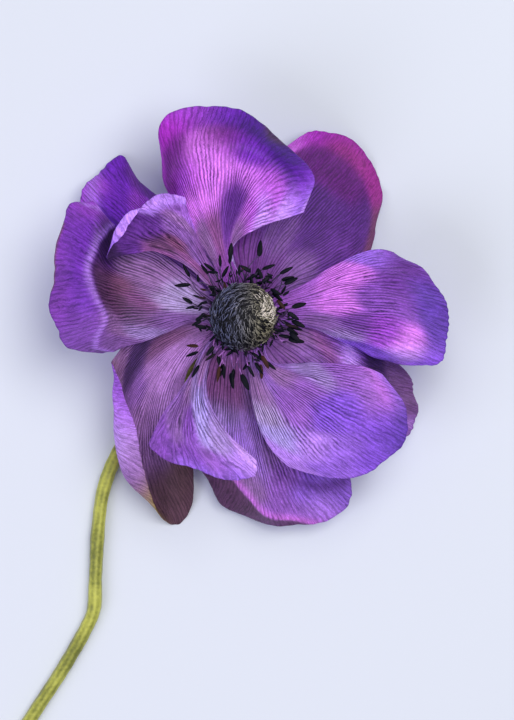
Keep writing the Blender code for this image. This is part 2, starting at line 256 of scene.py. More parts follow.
def grown(source, tree, name, **values):
    """Run a tree on an object and keep what it grows as a plain mesh object; the source goes."""
    modifier = source.modifiers.new(tree.name, "NODES")
    modifier.node_group = tree
    for item in tree.interface.items_tree:
        label = item.name.replace(" ", "_")
        if item.item_type == "SOCKET" and item.in_out == "INPUT" and label in values:
            modifier[item.identifier] = values[label]
    graph = bpy.context.evaluated_depsgraph_get()
    evaluated = source.evaluated_get(graph)
    mesh = bpy.data.meshes.new_from_object(evaluated, preserve_all_data_layers=True, depsgraph=graph)
    mesh.name = name
    source.modifiers.remove(modifier)
    bpy.data.objects.remove(source, do_unlink=True)
    piece = bpy.data.objects.new(name, mesh)
    bpy.context.scene.collection.objects.link(piece)
    mesh.shade_smooth()
    return piece


def finished(piece, slot, *nodes):
    """Tell the frame what this piece is: what it rides on and what it stands for. The slot is not used.
    """
    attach(piece, "root")
    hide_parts(*nodes)
    mesh = piece.data
    mesh.calc_loop_triangles()
    print(f"{piece.name}: {len(mesh.loop_triangles)} triangles")


print("trees can be started, run and kept")

# %% [markdown]
# ## The eleven tepals: shape
# Each tepal is a thin leaf that springs from a narrow claw, widens, cups and then bends back or
# rolls at its margin. A plane bent by modifiers would not follow eleven different bends, so each
# tepal is drawn as a boat builder draws a hull: ribs run from the claw to the margin, and a smooth
# surface is read across them. Front tepals come first, because each later one is tucked under them.

# %% Tepal ribs
WHORL_HEIGHTS = (-2.0, -1.1, -0.2)
CLAW_ARCS = (54, 66, 66)
CLAW_RADIUS = 4.65
CORNER_ROUNDING = 0.1

# Each tepal is the bearing of its claw in degrees, its whorl (2 is in front) and its ribs.
TEPALS = {
    "tepal_upper_left": (142, 2, (
        ((-8, 7, 1.5), (-15, 12.5, 3.5), (-21, 13.5, 6), (-26.5, 12, 8), (-30, 10, 9)),
        ((-7.5, 8, 1.8), (-14.5, 14, 4.5), (-21, 16, 8), (-26.3, 17.5, 12), (-26, 15, 13.3)),
        ((-7.5, 9, 2), (-13.5, 15.5, 5), (-19, 19, 9), (-23.2, 21.5, 13), (-22.5, 19.5, 14)),
        ((-7.5, 9.5, 2), (-12.5, 17, 5), (-16, 20.5, 9), (-18.7, 22.5, 12.5), (-20, 24, 12)),
        ((-7, 10.5, 1.9), (-11, 17.5, 4.5), (-13.5, 21.5, 8), (-15, 24, 11.2), (-15.7, 25.5, 10.6)),
        ((-7, 11.5, 1.5), (-9.5, 17, 3.5), (-11, 21, 6.5), (-12, 24.3, 9), (-12.3, 26, 8.4)),
    )),
    "tepal_lower_front": (222, 2, (
        ((-6, -7.5, 1.6), (-7.5, -15, 5), (-4, -23, 8), (6.6, -33, 8.8)),
        ((-6.5, -7, 2.1), (-9, -15.5, 6), (-7, -24.5, 9), (1.5, -34.3, 8)),
        ((-7.5, -7, 2.3), (-10.5, -15.5, 6), (-10.5, -25, 9), (-6, -33.4, 7)),
        ((-8, -6.5, 2.1), (-11.5, -15, 5.5), (-14, -23.5, 8.5), (-13.5, -31, 7)),
        ((-7.8, -6.8, 1.6), (-12.5, -14.5, 4.5), (-16.5, -20, 7.5), (-21.3, -30, 8)),
    )),
    "tepal_lower_right": (305, 2, (
        ((5.5, -9, 1.4), (15.5, -9.5, 5), (25.5, -10.5, 7), (31.5, -13.5, 6)),
        ((5.5, -9.5, 1.6), (15.5, -13, 5.5), (25, -15.5, 8), (35, -19.5, 5.5)),
        ((5, -10.5, 1.8), (14, -16.5, 5.5), (22.5, -21.5, 7.5), (33.5, -27, 5)),
        ((4.5, -11.5, 1.8), (12, -19.5, 5.5), (19, -25.5, 7), (28.5, -31.5, 5)),
        ((3.5, -12, 1.8), (8, -21.5, 5), (13, -28.5, 6.5), (20.5, -34.2, 5)),
        ((1.2, -12.5, 1.6), (2.8, -21.5, 4.5), (6, -27.8, 6), (12.5, -33.6, 5)),
    )),
    "tepal_top": (100, 1, (
        ((-7, 12.5, 0), (-12.5, 20, 3.5), (-15.8, 26.5, 6.5), (-17.5, 32.3, 6)),
        ((-6, 14, 0.5), (-10.5, 23.5, 4.5), (-14.3, 32.5, 8.5), (-17.5, 41.2, 6.5)),
        ((-5, 15, 0.7), (-7.5, 25.5, 5.5), (-9.5, 35, 9.5), (-8.2, 44.4, 4)),
        ((-4, 15.5, 0.7), (-3.5, 26.5, 5.5), (-2.5, 35.5, 9.5), (0, 43, 3)),
        ((-3, 15.5, 0.5), (0, 26, 4), (4.5, 33.5, 8.5), (8.5, 37, 2.5)),
        ((-2.5, 14.5, 0.3), (2.5, 23, 3), (9.5, 27.5, 7.5), (15.5, 29, 5)),
        ((-2.5, 14, 0.5), (3, 18.5, 4.5), (9.5, 20.5, 7.5), (15.5, 22.5, 7)),
    )),
    "tepal_left": (180, 1, (
        ((-10, -1, -0.3), (-16.5, -3.5, 0.3), (-21.5, -5.5, 1), (-27.5, -7, 2.5), (-31.5, -9, 2)),
        ((-10.5, 0, 0), (-18.5, -1.5, 0.6), (-25, -2.5, 2), (-29, -3, 6.5), (-38.3, -6, 3.5)),
        ((-10.5, 1.5, 0.2), (-19, 2, 0.7), (-26.5, 2.5, 2.5), (-30.5, 2.5, 8.5), (-40.5, 1, 4)),
        ((-10.5, 2.5, 0.3), (-19.5, 5, 0.7), (-27.5, 7, 2.8), (-32.5, 8.5, 9.5), (-39.5, 9.5, 4.5)),
        ((-10.5, 4, 0.3), (-18.5, 8.5, 0.5), (-27, 11.5, 2.5), (-31, 17, 9), (-38, 22, 4)),
        ((-9, 7, 0), (-17.5, 13.5, 0), (-26.5, 18, 1.5), (-30, 23, 7.5), (-34, 26, 4)),
    )),
    "tepal_right": (8, 1, (
        ((12, 6.5, 0.5), (19.5, 11, 3), (27, 14, 4), (35.2, 13.2, 2)),
        ((13, 5, 0.7), (22, 8, 4), (31, 9.3, 5.5), (40.8, 7.2, 2.5)),
        ((13.5, 3, 0.9), (23, 4, 3.5), (33, 3.5, 4.5), (43.3, 0.8, 2)),
        ((14, 1, 0.9), (23, 0, 3), (33.5, -1.5, 4.5), (43, -5, 2.5)),
        ((13.5, -1, 0.7), (22.5, -3.5, 3), (31.5, -6.5, 5), (41, -10.5, 3)),
        ((13, -2, 0.3), (20.5, -5, 1.5), (28, -8.5, 2), (35.5, -10.5, 2)),
    )),
    "tepal_upper_right": (58, 0, (
        ((-5.2, 12.2, -2.5), (-2, 22.4, -4), (6, 32.5, -7), (10, 38.5, -10)),
        ((2.5, 16.5, -3), (7, 26, -5.5), (12, 34.5, -8.5), (16, 40.5, -11)),
        ((5.5, 16.5, -3.2), (11.5, 26.5, -6.5), (18, 34, -10), (22, 39, -12.5)),
        ((8.5, 14, -3.2), (17, 22.5, -7), (23.5, 28.5, -11), (27.5, 33.5, -13.6)),
        ((10.5, 11, -3), (19.5, 16.5, -6), (26, 22, -10.5), (30, 28, -14.1)),
        ((12.5, 5.5, -2.6), (20, 7.5, -4.5), (26.5, 13, -8), (29, 21.5, -12)),
    )),
    "tepal_upper_left_back": (130, 0, (
        ((-9, 4, -2), (-18, 9, -3), (-27.5, 17, -4.5), (-38, 27.2, -9)),
        ((-7.5, 7, -2), (-15.5, 14, -3.5), (-23.5, 23, -6), (-31.6, 31, -12)),
        ((-6.5, 8, -2), (-14, 16.5, -3.7), (-21.5, 25, -7), (-26.6, 34.9, -14)),
        ((-6, 9.5, -2), (-12.5, 17.5, -3.7), (-19.5, 25, -7), (-24, 31.8, -12.5)),
        ((-4, 11, -2), (-9, 18, -3.5), (-13.5, 23, -6), (-18.5, 24.5, -8)),
    )),
    "tepal_lower_left": (205, 0, (
        ((-7.9, -7, -2), (-11.4, -10.8, -2.8), (-13, -19.5, -5), (-11.5, -26, -8), (-9.5, -33.5, -11.5)),
        ((-9.5, -5.5, -2), (-14.5, -13, -3), (-16.5, -23, -6), (-14.5, -33.5, -10), (-10.5, -42, -13.6)),
        ((-10.5, -5, -2), (-17, -13, -3), (-20, -24, -6), (-19, -34.5, -10), (-15, -44.5, -14.1)),
        ((-12, -5, -2), (-19, -12.5, -2.8), (-23.5, -21.5, -4.5), (-25, -34, -6.5), (-19.5, -38, -5.5)),
        ((-12.5, -4.5, -2), (-20.5, -11, -2.5), (-25, -19, -3.5), (-26.7, -26, -3), (-21, -29, -1)),
        ((-13.5, -3, -1.9), (-21.5, -7.5, -2), (-26, -14.5, -2.5), (-27.2, -17.5, -1.5),
         (-23.5, -18.5, 1)),
        ((-13.5, -1, -1.8), (-20.5, -3, -1.5), (-25, -5.5, -1.5), (-27, -9.5, -0.5),
         (-25.5, -10.5, 1.5)),
    )),
    "tepal_bottom": (268, 0, (
        ((4, -9.5, -2.4), (11, -19.5, -4), (18.5, -28, -7), (25.5, -35, -9)),
        ((2.5, -10.5, -2.2), (9, -22.5, -3.5), (15, -32.5, -6.5), (23, -41, -9.5)),
        ((1.5, -11.5, -2), (5.5, -24, -3), (10, -36.5, -6), (15.5, -44, -10)),
        ((-0.5, -11.5, -2), (2, -25, -3), (5.5, -41, -6.5), (7, -44, -10)),
        ((-2, -11, -2), (-1.5, -24, -3.5), (0, -37, -7), (-2.5, -42, -12.5)),
        ((-7.5, -9, -2.4), (-9.8, -20, -5.5), (-10.5, -28, -9), (-9.2, -34, -12.5)),
    )),
    "tepal_right_back": (330, 0, (
        ((11.5, 1, -2), (20.5, -1.5, -2), (28.5, -5.5, -3), (33.5, -10, -5)),
        ((12, -2.5, -2), (21, -6, -2.5), (29, -10.5, -4), (36, -13, -6.5)),
        ((11.5, -5.5, -2), (20, -10.5, -3), (28.5, -15, -5), (37, -18, -7.5)),
        ((10.5, -8, -2.2), (18, -14, -3.5), (26, -19.5, -6), (37, -23, -8.5)),
        ((6, -11, -2.4), (12.5, -17.5, -4), (21, -24, -7), (33.5, -29, -9)),
    )),
}
print("tepals:", len(TEPALS))

# %% Reading a smooth surface across the ribs
def smooth(points, stations):
    """Read the smooth curve through points (first axis) at stations from 0 to 1."""
    points = np.asarray(points, dtype=float)
    steps = np.diff(points, axis=0)
    lengths = np.sqrt(np.linalg.norm(steps, axis=-1))
    lengths = lengths.reshape(len(steps), -1).mean(axis=1)
    knots = np.concatenate(([0.0], np.cumsum(lengths))) / lengths.sum()
    gaps = np.diff(knots).reshape((-1,) + (1,) * (points.ndim - 1))
    slopes = steps / gaps
    inner = (slopes[:-1] * gaps[1:] + slopes[1:] * gaps[:-1]) / (gaps[:-1] + gaps[1:])
    tangents = np.concatenate((slopes[:1], inner, slopes[-1:]))
    read = []
    for station in stations:
        span = min(int(np.searchsorted(knots, station, side="right")) - 1, len(steps) - 1)
        gap = knots[span + 1] - knots[span]
        t = (station - knots[span]) / gap
        start = (1 + 2 * t) * (1 - t) ** 2 * points[span] + t * (1 - t) ** 2 * gap * tangents[span]
        end = t * t * (3 - 2 * t) * points[span + 1] - t * t * (1 - t) * gap * tangents[span + 1]
        read.append(start + end)
    return np.array(read)


def rough_surface(bearing, whorl, ribs, across=24, along=28):
    """The tepal's middle surface as a light grid of points: across first, then along."""
    net = []
    for index, rib in enumerate(ribs):
        angle = math.radians(bearing + CLAW_ARCS[whorl] * (0.5 - index / (len(ribs) - 1)))
        claw = (CLAW_RADIUS * math.cos(angle), CLAW_RADIUS * math.sin(angle), WHORL_HEIGHTS[whorl])
        net.append((claw, *rib))
    sides = smooth(net, np.linspace(0, 1, across + 1))
    grid = []
    for side, rib in zip(np.linspace(0, 1, across + 1), sides):
        reach = 1 - CORNER_ROUNDING * abs(2 * side - 1) ** 4
        grid.append(smooth(rib, np.linspace(0, 1, along + 1) * reach))
    return np.array(grid)


# %% Tucking each tepal under the ones in front
TEPAL_SPACING = 1.1
SETTLING_PASSES = 8
FAR_BELOW = -100.0


def around(values):
    """Each grid value with its eight neighbours, as a stack."""
    padded = np.pad(values, 1, mode="edge")
    columns, rows = values.shape
    return np.array([padded[i:i + columns, j:j + rows] for i in range(3) for j in range(3)])


def tucked_under(grid, front):
    """Lower the grid where it would touch the tepals in front of it, as they lie on each other."""
    drop = np.zeros(grid.shape[:2])
    for i, j in np.ndindex(drop.shape):
        x, y, z = grid[i, j]
        for tree in front:
            hit = tree.ray_cast(Vector((x, y, FAR_BELOW)), Vector((0, 0, 1)))[0]
            if hit is not None:
                drop[i, j] = max(drop[i, j], z - (hit.z - TEPAL_SPACING))
    settled = around(drop).max(axis=0)
    for _ in range(SETTLING_PASSES):
        settled = np.maximum(drop, around(settled).mean(axis=0))
    settled[:, 0] = 0.0
    lowered = grid.copy()
    lowered[:, :, 2] -= settled
    return lowered


def grid_faces(columns, rows):
    """The four corners of every cell of a grid of points."""
    corner = (np.arange(columns - 1)[:, None] * rows + np.arange(rows - 1)).ravel()
    return np.stack((corner, corner + rows, corner + rows + 1, corner + 1), axis=1)


surfaces = {}
front_trees = []
for name, (bearing, whorl, ribs) in TEPALS.items():
    grid = tucked_under(rough_surface(bearing, whorl, ribs), front_trees)
    points = [Vector(point) for point in grid.reshape(-1, 3)]
    front_trees.append(BVHTree.FromPolygons(points, grid_faces(*grid.shape[:2]).tolist()))
    surfaces[name] = grid
print("surfaces laid:", len(surfaces))

# %% [markdown]
# ## The tepals: living edges
# A real margin is never a clean curve. It is a little ragged, it ruffles where the leaf grew faster
# at its edge than in its middle, and shallow furrows run out from the claw. Sums of a few waves
# with seeded phases give all three, and the wall thins towards the margin. Where a leaf rolls over
# along a line, a fold lifts a crest.

# %% Folds
# A fold is a crest line over the tepal, as (across, along) points, its height in millimetres and how
# far its flanks reach before and beyond the crest, as parts of the tepal's length.
LEFT_CREST = ((0.10, 0.90), (0.17, 0.83), (0.30, 0.73), (0.42, 0.75), (0.60, 0.78), (0.82, 0.75),
              (1.0, 0.75))
TOP_CREST = ((0.0, 0.80), (0.3, 0.75), (0.5, 0.76), (0.75, 0.78), (1.0, 0.95))
BOTTOM_CREST = ((0.0, 1.3), (0.35, 1.0), (0.44, 0.92), (0.52, 0.86), (0.62, 0.80), (0.72, 0.755),
                (0.85, 0.70), (1.0, 0.64))
RIGHT_BACK_CREST = ((0.0, 0.60), (0.2, 0.59), (0.5, 0.61), (1.0, 0.60))
FOLDS = {
    "tepal_left": (LEFT_CREST, 0.8, 0.06, 0.04),
    "tepal_top": (TOP_CREST, 0.8, 0.10, 0.08),
    "tepal_bottom": (BOTTOM_CREST, 0.8, 0.06, 0.04),
    "tepal_right_back": (RIGHT_BACK_CREST, 0.9, 0.06, 0.04),
}
LINE_STATIONS = 60
CREST_ROUNDING = 0.02
FOLD_FULL_FROM = 0.3


def fold_height(name, u, v):
    """How much a tepal's folds lift it at each place, in millimetres."""
    if name not in FOLDS:
        return np.zeros_like(u)
    crest, height, before, beyond = FOLDS[name]
    line = smooth(crest, np.linspace(0, 1, LINE_STATIONS))
    apart = v - np.interp(u, line[:, 0], line[:, 1])
    reach = np.where(apart < 0, before, beyond)
    rise = np.exp(-np.sqrt((apart / reach) ** 2 + CREST_ROUNDING))
    return height * rise * np.clip(v / FOLD_FULL_FROM, 0, 1)


print("folded tepals:", len(FOLDS))

# %% Ragged margins, ruffles and furrows
CELLS_ACROSS = 320
CELLS_ALONG = 96
RAGGED = 0.008
TEETH = 0.25
RUFFLE = 0.30
FURROW = 0.16
FLAT_CLAW = 0.15


def waves(places, chance, lowest, highest, count=6):
    """A smooth random line from about -1 to 1, made of count waves between two frequencies."""
    result = np.zeros_like(places)
    for _ in range(count):
        frequency = chance.uniform(lowest, highest)
        phase = chance.uniform(0, math.tau)
        result += np.sin(math.tau * frequency * places + phase)
    return result / math.sqrt(count)


def living_surface(name, chance):
    """The fine middle surface of a tepal and its unit normals."""
    across = np.linspace(0, 1, CELLS_ACROSS + 1)
    along = np.linspace(0, 1, CELLS_ALONG + 1)
    fine = smooth(surfaces[name], across)
    fine = smooth(fine.swapaxes(0, 1), along).swapaxes(0, 1)
    tip_wear = RAGGED * (1 + waves(across, chance, 1, 5) + TEETH * waves(across, chance, 8, 22))
    for column, wear in zip(fine, np.clip(tip_wear, 0, None)):
        reach = along * (1 - wear * along ** 6)
        for axis in range(3):
            column[:, axis] = np.interp(reach, along, column[:, axis])
    u, v = np.meshgrid(across, along, indexing="ij")
    edge = np.maximum(np.abs(2 * u - 1) ** 5, v ** 7)
    ruffle = waves(u + 0.15 * v, chance, 2.0, 5.0) * v ** 5
    ruffle += waves(v + 0.1 * u, chance, 1.5, 4.0) * np.abs(2 * u - 1) ** 5 * v
    furrow = waves(u, chance, 3, 8) * np.sin(math.pi * np.clip(v, 0, 1)) ** 0.7
    normal = surface_normal(fine)
    lift = RUFFLE * ruffle + FURROW * furrow * (1 - 0.5 * edge) + fold_height(name, u, v)
    fine = fine + normal * (lift * np.clip(v / FLAT_CLAW, 0, 1))[:, :, None]
    return fine, surface_normal(fine)


def surface_normal(grid):
    normal = np.cross(np.gradient(grid, axis=0), np.gradient(grid, axis=1))
    return normal / np.linalg.norm(normal, axis=2, keepdims=True)


print("cells of a tepal:", CELLS_ACROSS, "across,", CELLS_ALONG, "along")

# %% Closed shells
HALF_WALL = 0.16
EDGE_WALL = 0.05


def shell_faces(columns, rows):
    """Front cells, back cells turned over, and a rim that joins the two round the margin."""
    front = grid_faces(columns, rows)
    back = front[:, ::-1] + columns * rows
    ring = [i * rows for i in range(columns)]
    ring += [(columns - 1) * rows + j for j in range(1, rows)]
    ring += [i * rows + rows - 1 for i in range(columns - 2, -1, -1)]
    ring += [j for j in range(rows - 2, 0, -1)]
    ring = np.array(ring)
    after = np.roll(ring, -1)
    below = columns * rows
    rim = np.stack((ring, ring + below, after + below, after), axis=1)
    return np.concatenate((front, back, rim))


def store(mesh, name, kind, values):
    """Keep one value for each vertex of a mesh under a name that node trees can read."""
    layer = mesh.attributes.new(name, kind, "POINT")
    field = {"FLOAT": "value", "FLOAT_VECTOR": "vector", "FLOAT_COLOR": "color"}[kind]
    layer.data.foreach_set(field, np.asarray(values, dtype=np.float32).ravel())


print("wall, in millimetres:", 2 * HALF_WALL, "thinning to", 2 * EDGE_WALL)

# %% [markdown]
# ## The tepals: colour
# No two tepals have quite the same colour, and each runs from a milky claw through rose or plum to
# violet. A painter would lay spots of colour and blend them wet, and so does this: a spot is a
# colour's name and its place on the tepal, across and along from 0 to 1.
# Some spots and strokes, and a lightness for each whole tepal, are painted light and shade: highlights on
# fold crests, shade beyond folds, and shadows that tepals cast on each other.

# %% Spots of colour
COLORS = {
    "mist": "#A898DC", "pearl": "#C498EC", "lavender": "#B082E4", "milk": "#B09CCE", "lilac": "#9E84C4",
    "iris": "#9668D8", "violet": "#8656D4", "indigo": "#6844B0", "purple": "#9848C4",
    "royal": "#702CB4", "amethyst": "#824CB0", "wisteria": "#9A64C4",
    "rose": "#D27CE6", "orchid": "#BA62D4", "magenta": "#A42CB8", "berry": "#98348E",
    "grape": "#6C3A96", "ink": "#40107C", "aubergine": "#622278", "night": "#38224E",
    "plum": "#5A2E82", "heather": "#80589E", "mauve": "#946CA6", "rosewood": "#8A548E",
    "dusk": "#6E4C7E", "wine": "#76466C", "mulberry": "#603C62",
    "cocoa": "#4C363E", "bronze": "#8A5A58", "moss": "#8A7A3C", "blossom": "#A880B8",
}
SPOTS = {
    "tepal_top": (
        ("magenta", 0.20, 0.93), ("purple", 0.32, 0.97), ("royal", 0.46, 0.97), ("ink", 0.57, 0.95),
        ("aubergine", 0.24, 0.77), ("aubergine", 0.16, 0.83), ("aubergine", 0.14, 0.76),
        ("rose", 0.36, 0.77), ("rose", 0.42, 0.71), ("aubergine", 0.47, 0.79), ("royal", 0.60, 0.78),
        ("purple", 0.18, 0.68), ("orchid", 0.30, 0.64), ("rose", 0.40, 0.62), ("rose", 0.50, 0.62),
        ("rose", 0.66, 0.63), ("orchid", 0.82, 0.72), ("rose", 0.16, 0.55), ("rose", 0.36, 0.49),
        # Painted shade: the plum and grape spots round (0.6, 0.47) darken the valley where the right lobe
        # folds over.
        ("plum", 0.62, 0.47), ("grape", 0.56, 0.40), ("plum", 0.60, 0.53), ("pearl", 0.92, 0.63),
        ("pearl", 0.96, 0.85), ("rosewood", 0.36, 0.35), ("mauve", 0.90, 0.42), ("orchid", 0.86, 0.52),
        ("ink", 0.68, 0.87), ("ink", 0.76, 0.88), ("royal", 0.86, 0.90), ("iris", 0.95, 0.95),
        ("mauve", 0.12, 0.36),
    ),
    "tepal_upper_right": (
        ("rose", 0.14, 0.92), ("magenta", 0.26, 0.95), ("berry", 0.42, 0.95), ("berry", 0.56, 0.97),
        ("aubergine", 0.44, 0.77), ("aubergine", 0.58, 0.78), ("berry", 0.74, 0.97),
        ("plum", 0.68, 0.62),
        ("plum", 0.78, 0.76), ("plum", 0.66, 0.44), ("grape", 0.84, 0.52), ("heather", 0.82, 0.30),
        ("heather", 0.47, 0.36), ("plum", 0.50, 0.55), ("wine", 0.92, 0.90), ("aubergine", 0.30, 0.80),
    ),
    "tepal_right": (
        ("iris", 0.08, 0.77), ("grape", 0.20, 0.83), ("rose", 0.18, 0.53), ("rose", 0.26, 0.46),
        ("amethyst", 0.42, 0.60), ("grape", 0.32, 0.77), ("indigo", 0.34, 0.87), ("indigo", 0.46, 0.88),
        ("amethyst", 0.48, 0.75), ("rose", 0.50, 0.42), ("grape", 0.70, 0.50), ("purple", 0.70, 0.67),
        ("rose", 0.72, 0.80), ("indigo", 0.58, 0.96), ("violet", 1.0, 0.63), ("violet", 0.96, 0.80),
        ("pearl", 0.82, 0.84), ("violet", 0.76, 0.96), ("heather", 0.78, 0.37), ("lilac", 0.84, 0.48),
    ),
    "tepal_lower_right": (
        ("mauve", 0.32, 0.30), ("lilac", 0.14, 0.50), ("wisteria", 0.34, 0.44), ("wisteria", 0.10, 0.67),
        ("wisteria", 0.12, 0.80), ("rose", 0.15, 0.88), ("wisteria", 0.22, 0.80), ("iris", 0.16, 0.95),
        ("indigo", 0.26, 0.98), ("violet", 0.44, 0.60), ("violet", 0.34, 0.70), ("violet", 0.34, 0.87),
        ("violet", 0.52, 0.95), ("indigo", 0.36, 0.98), ("iris", 0.60, 0.83), ("iris", 0.74, 0.95),
        ("lavender", 0.70, 0.73), ("mist", 0.86, 0.66), ("wisteria", 0.56, 0.48), ("milk", 0.90, 0.48),
        ("mauve", 0.90, 0.36), ("lavender", 0.94, 0.97), ("lavender", 0.95, 0.80),
    ),
    "tepal_right_back": (
        ("dusk", 0.40, 0.25), ("heather", 0.48, 0.32), ("rosewood", 0.34, 0.40), ("wisteria", 0.28, 0.48),
        ("wisteria", 0.28, 0.62), ("dusk", 0.26, 0.90), ("dusk", 0.48, 0.97), ("heather", 0.76, 0.98),
        # Painted shade: the night spot darkens the strip under the tepals in front.
        ("night", 0.28, 0.70),
    ),
    "tepal_bottom": (
        # Painted light: the pearl spot at (0.50, 0.47) lightens the place that the lower right tepal
        # shades.
        ("lilac", 0.74, 0.43), ("lavender", 0.66, 0.52), ("pearl", 0.50, 0.47), ("lavender", 0.52, 0.60),
        ("wisteria", 0.36, 0.70), ("iris", 0.26, 0.82), ("iris", 0.14, 0.92), ("wisteria", 0.44, 0.88),
        ("lavender", 0.28, 0.92), ("wisteria", 0.36, 0.97), ("rosewood", 0.76, 0.33),
        ("rosewood", 0.60, 0.25),
        # Painted shade: the cocoa spot and the mulberry spot at (0.74, 0.88) darken the side beyond the
        # fold.
        ("mauve", 0.45, 0.32), ("rosewood", 0.90, 0.30), ("mauve", 0.62, 0.68), ("cocoa", 0.84, 0.85),
        ("mulberry", 0.74, 0.88), ("mauve", 0.40, 0.56),
    ),
    "tepal_lower_front": (
        ("mauve", 0.32, 0.27), ("lilac", 0.52, 0.42), ("mist", 0.30, 0.55), ("mist", 0.32, 0.66),
        ("lilac", 0.20, 0.75), ("mauve", 0.66, 0.48), ("heather", 0.70, 0.60), ("heather", 0.76, 0.75),
        ("amethyst", 0.50, 0.66), ("amethyst", 0.86, 0.90), ("amethyst", 0.60, 0.90),
        ("wisteria", 0.38, 0.91),
        ("lavender", 0.20, 0.93), ("pearl", 0.06, 0.96), ("iris", 0.60, 0.98), ("iris", 0.34, 0.98),
    ),
    "tepal_lower_left": (
        # Painted shadow: the night spot at (0.76, 0.52) lies where the left tepal overlaps this one.
        ("mauve", 0.58, 0.35), ("night", 0.76, 0.52), ("mulberry", 0.72, 0.33), ("heather", 0.58, 0.53),
        ("mauve", 0.24, 0.30), ("mauve", 0.30, 0.45), ("mauve", 0.20, 0.58), ("mauve", 0.36, 0.60),
        # Painted shade: the cocoa and mulberry spots, and the dusk spot at (0.28, 0.80), darken the
        # tepal's far end at low across.
        ("mauve", 0.30, 0.70), ("dusk", 0.28, 0.80), ("cocoa", 0.18, 0.87), ("mulberry", 0.30, 0.90),
        ("mulberry", 0.16, 0.99), ("cocoa", 0.08, 0.88), ("moss", 0.46, 1.0), ("dusk", 0.50, 0.68),
    ),
    "tepal_left": (
        ("milk", 0.46, 0.22), ("heather", 0.20, 0.33), ("dusk", 0.28, 0.48), ("rosewood", 0.46, 0.44),
        ("milk", 0.54, 0.32), ("mauve", 0.78, 0.50), ("mauve", 0.90, 0.55), ("mauve", 0.80, 0.40),
        ("mauve", 0.26, 0.66), ("lilac", 0.14, 0.52), ("heather", 0.06, 0.78), ("heather", 0.08, 0.92),
        ("amethyst", 0.20, 0.92), ("amethyst", 0.30, 0.86), ("royal", 0.42, 0.85),
        ("purple", 0.44, 0.94), ("grape", 0.52, 0.96), ("royal", 0.58, 0.87), ("purple", 0.64, 0.95),
        ("royal", 0.74, 0.84), ("royal", 0.72, 0.91), ("purple", 0.82, 0.93), ("purple", 0.98, 0.98),
        # Painted shade: the night, plum and mulberry spots at along 0.65 to 0.70 darken the inner wall
        # just inside the crest.
        ("night", 0.84, 0.65), ("night", 0.82, 0.70), ("plum", 0.74, 0.66), ("mulberry", 0.50, 0.66),
        ("mulberry", 0.60, 0.66), ("wine", 0.58, 0.55), ("milk", 0.72, 0.24), ("mauve", 0.62, 0.40),
        ("mulberry", 0.40, 0.58),
    ),
    "tepal_upper_left_back": (
        ("royal", 0.44, 0.97), ("purple", 0.24, 0.95), ("royal", 0.40, 0.85), ("purple", 0.10, 0.97),
        ("royal", 0.20, 0.83), ("purple", 0.46, 0.70), ("ink", 0.06, 0.83), ("grape", 0.60, 0.85),
        ("mauve", 0.30, 0.30), ("mauve", 0.70, 0.30), ("rosewood", 0.40, 0.50),
    ),
    "tepal_upper_left": (
        ("wisteria", 0.90, 0.77), ("plum", 0.34, 0.70), ("plum", 0.44, 0.76), ("plum", 0.10, 0.82),
        ("night", 0.06, 0.98), ("heather", 0.60, 0.66), ("rosewood", 0.04, 0.65),
        ("mulberry", 0.24, 0.60),
        ("wine", 0.42, 0.48), ("heather", 0.62, 0.54), ("rosewood", 0.22, 0.34), ("heather", 0.50, 0.38),
        ("mauve", 0.06, 0.32), ("mauve", 0.76, 0.68),
    ),
}
print("colours:", len(COLORS), "spots:", sum(len(spots) for spots in SPOTS.values()))

# %% Strokes of colour
# A stroke is a colour, its strength, how far it spreads before and beyond a line over the tepal (as
# parts of the tepal's length, WIDE for a wash without end) and the line, as (across, along) points. A
# third number in the points says how much of the stroke is there.
WIDE = 99.0
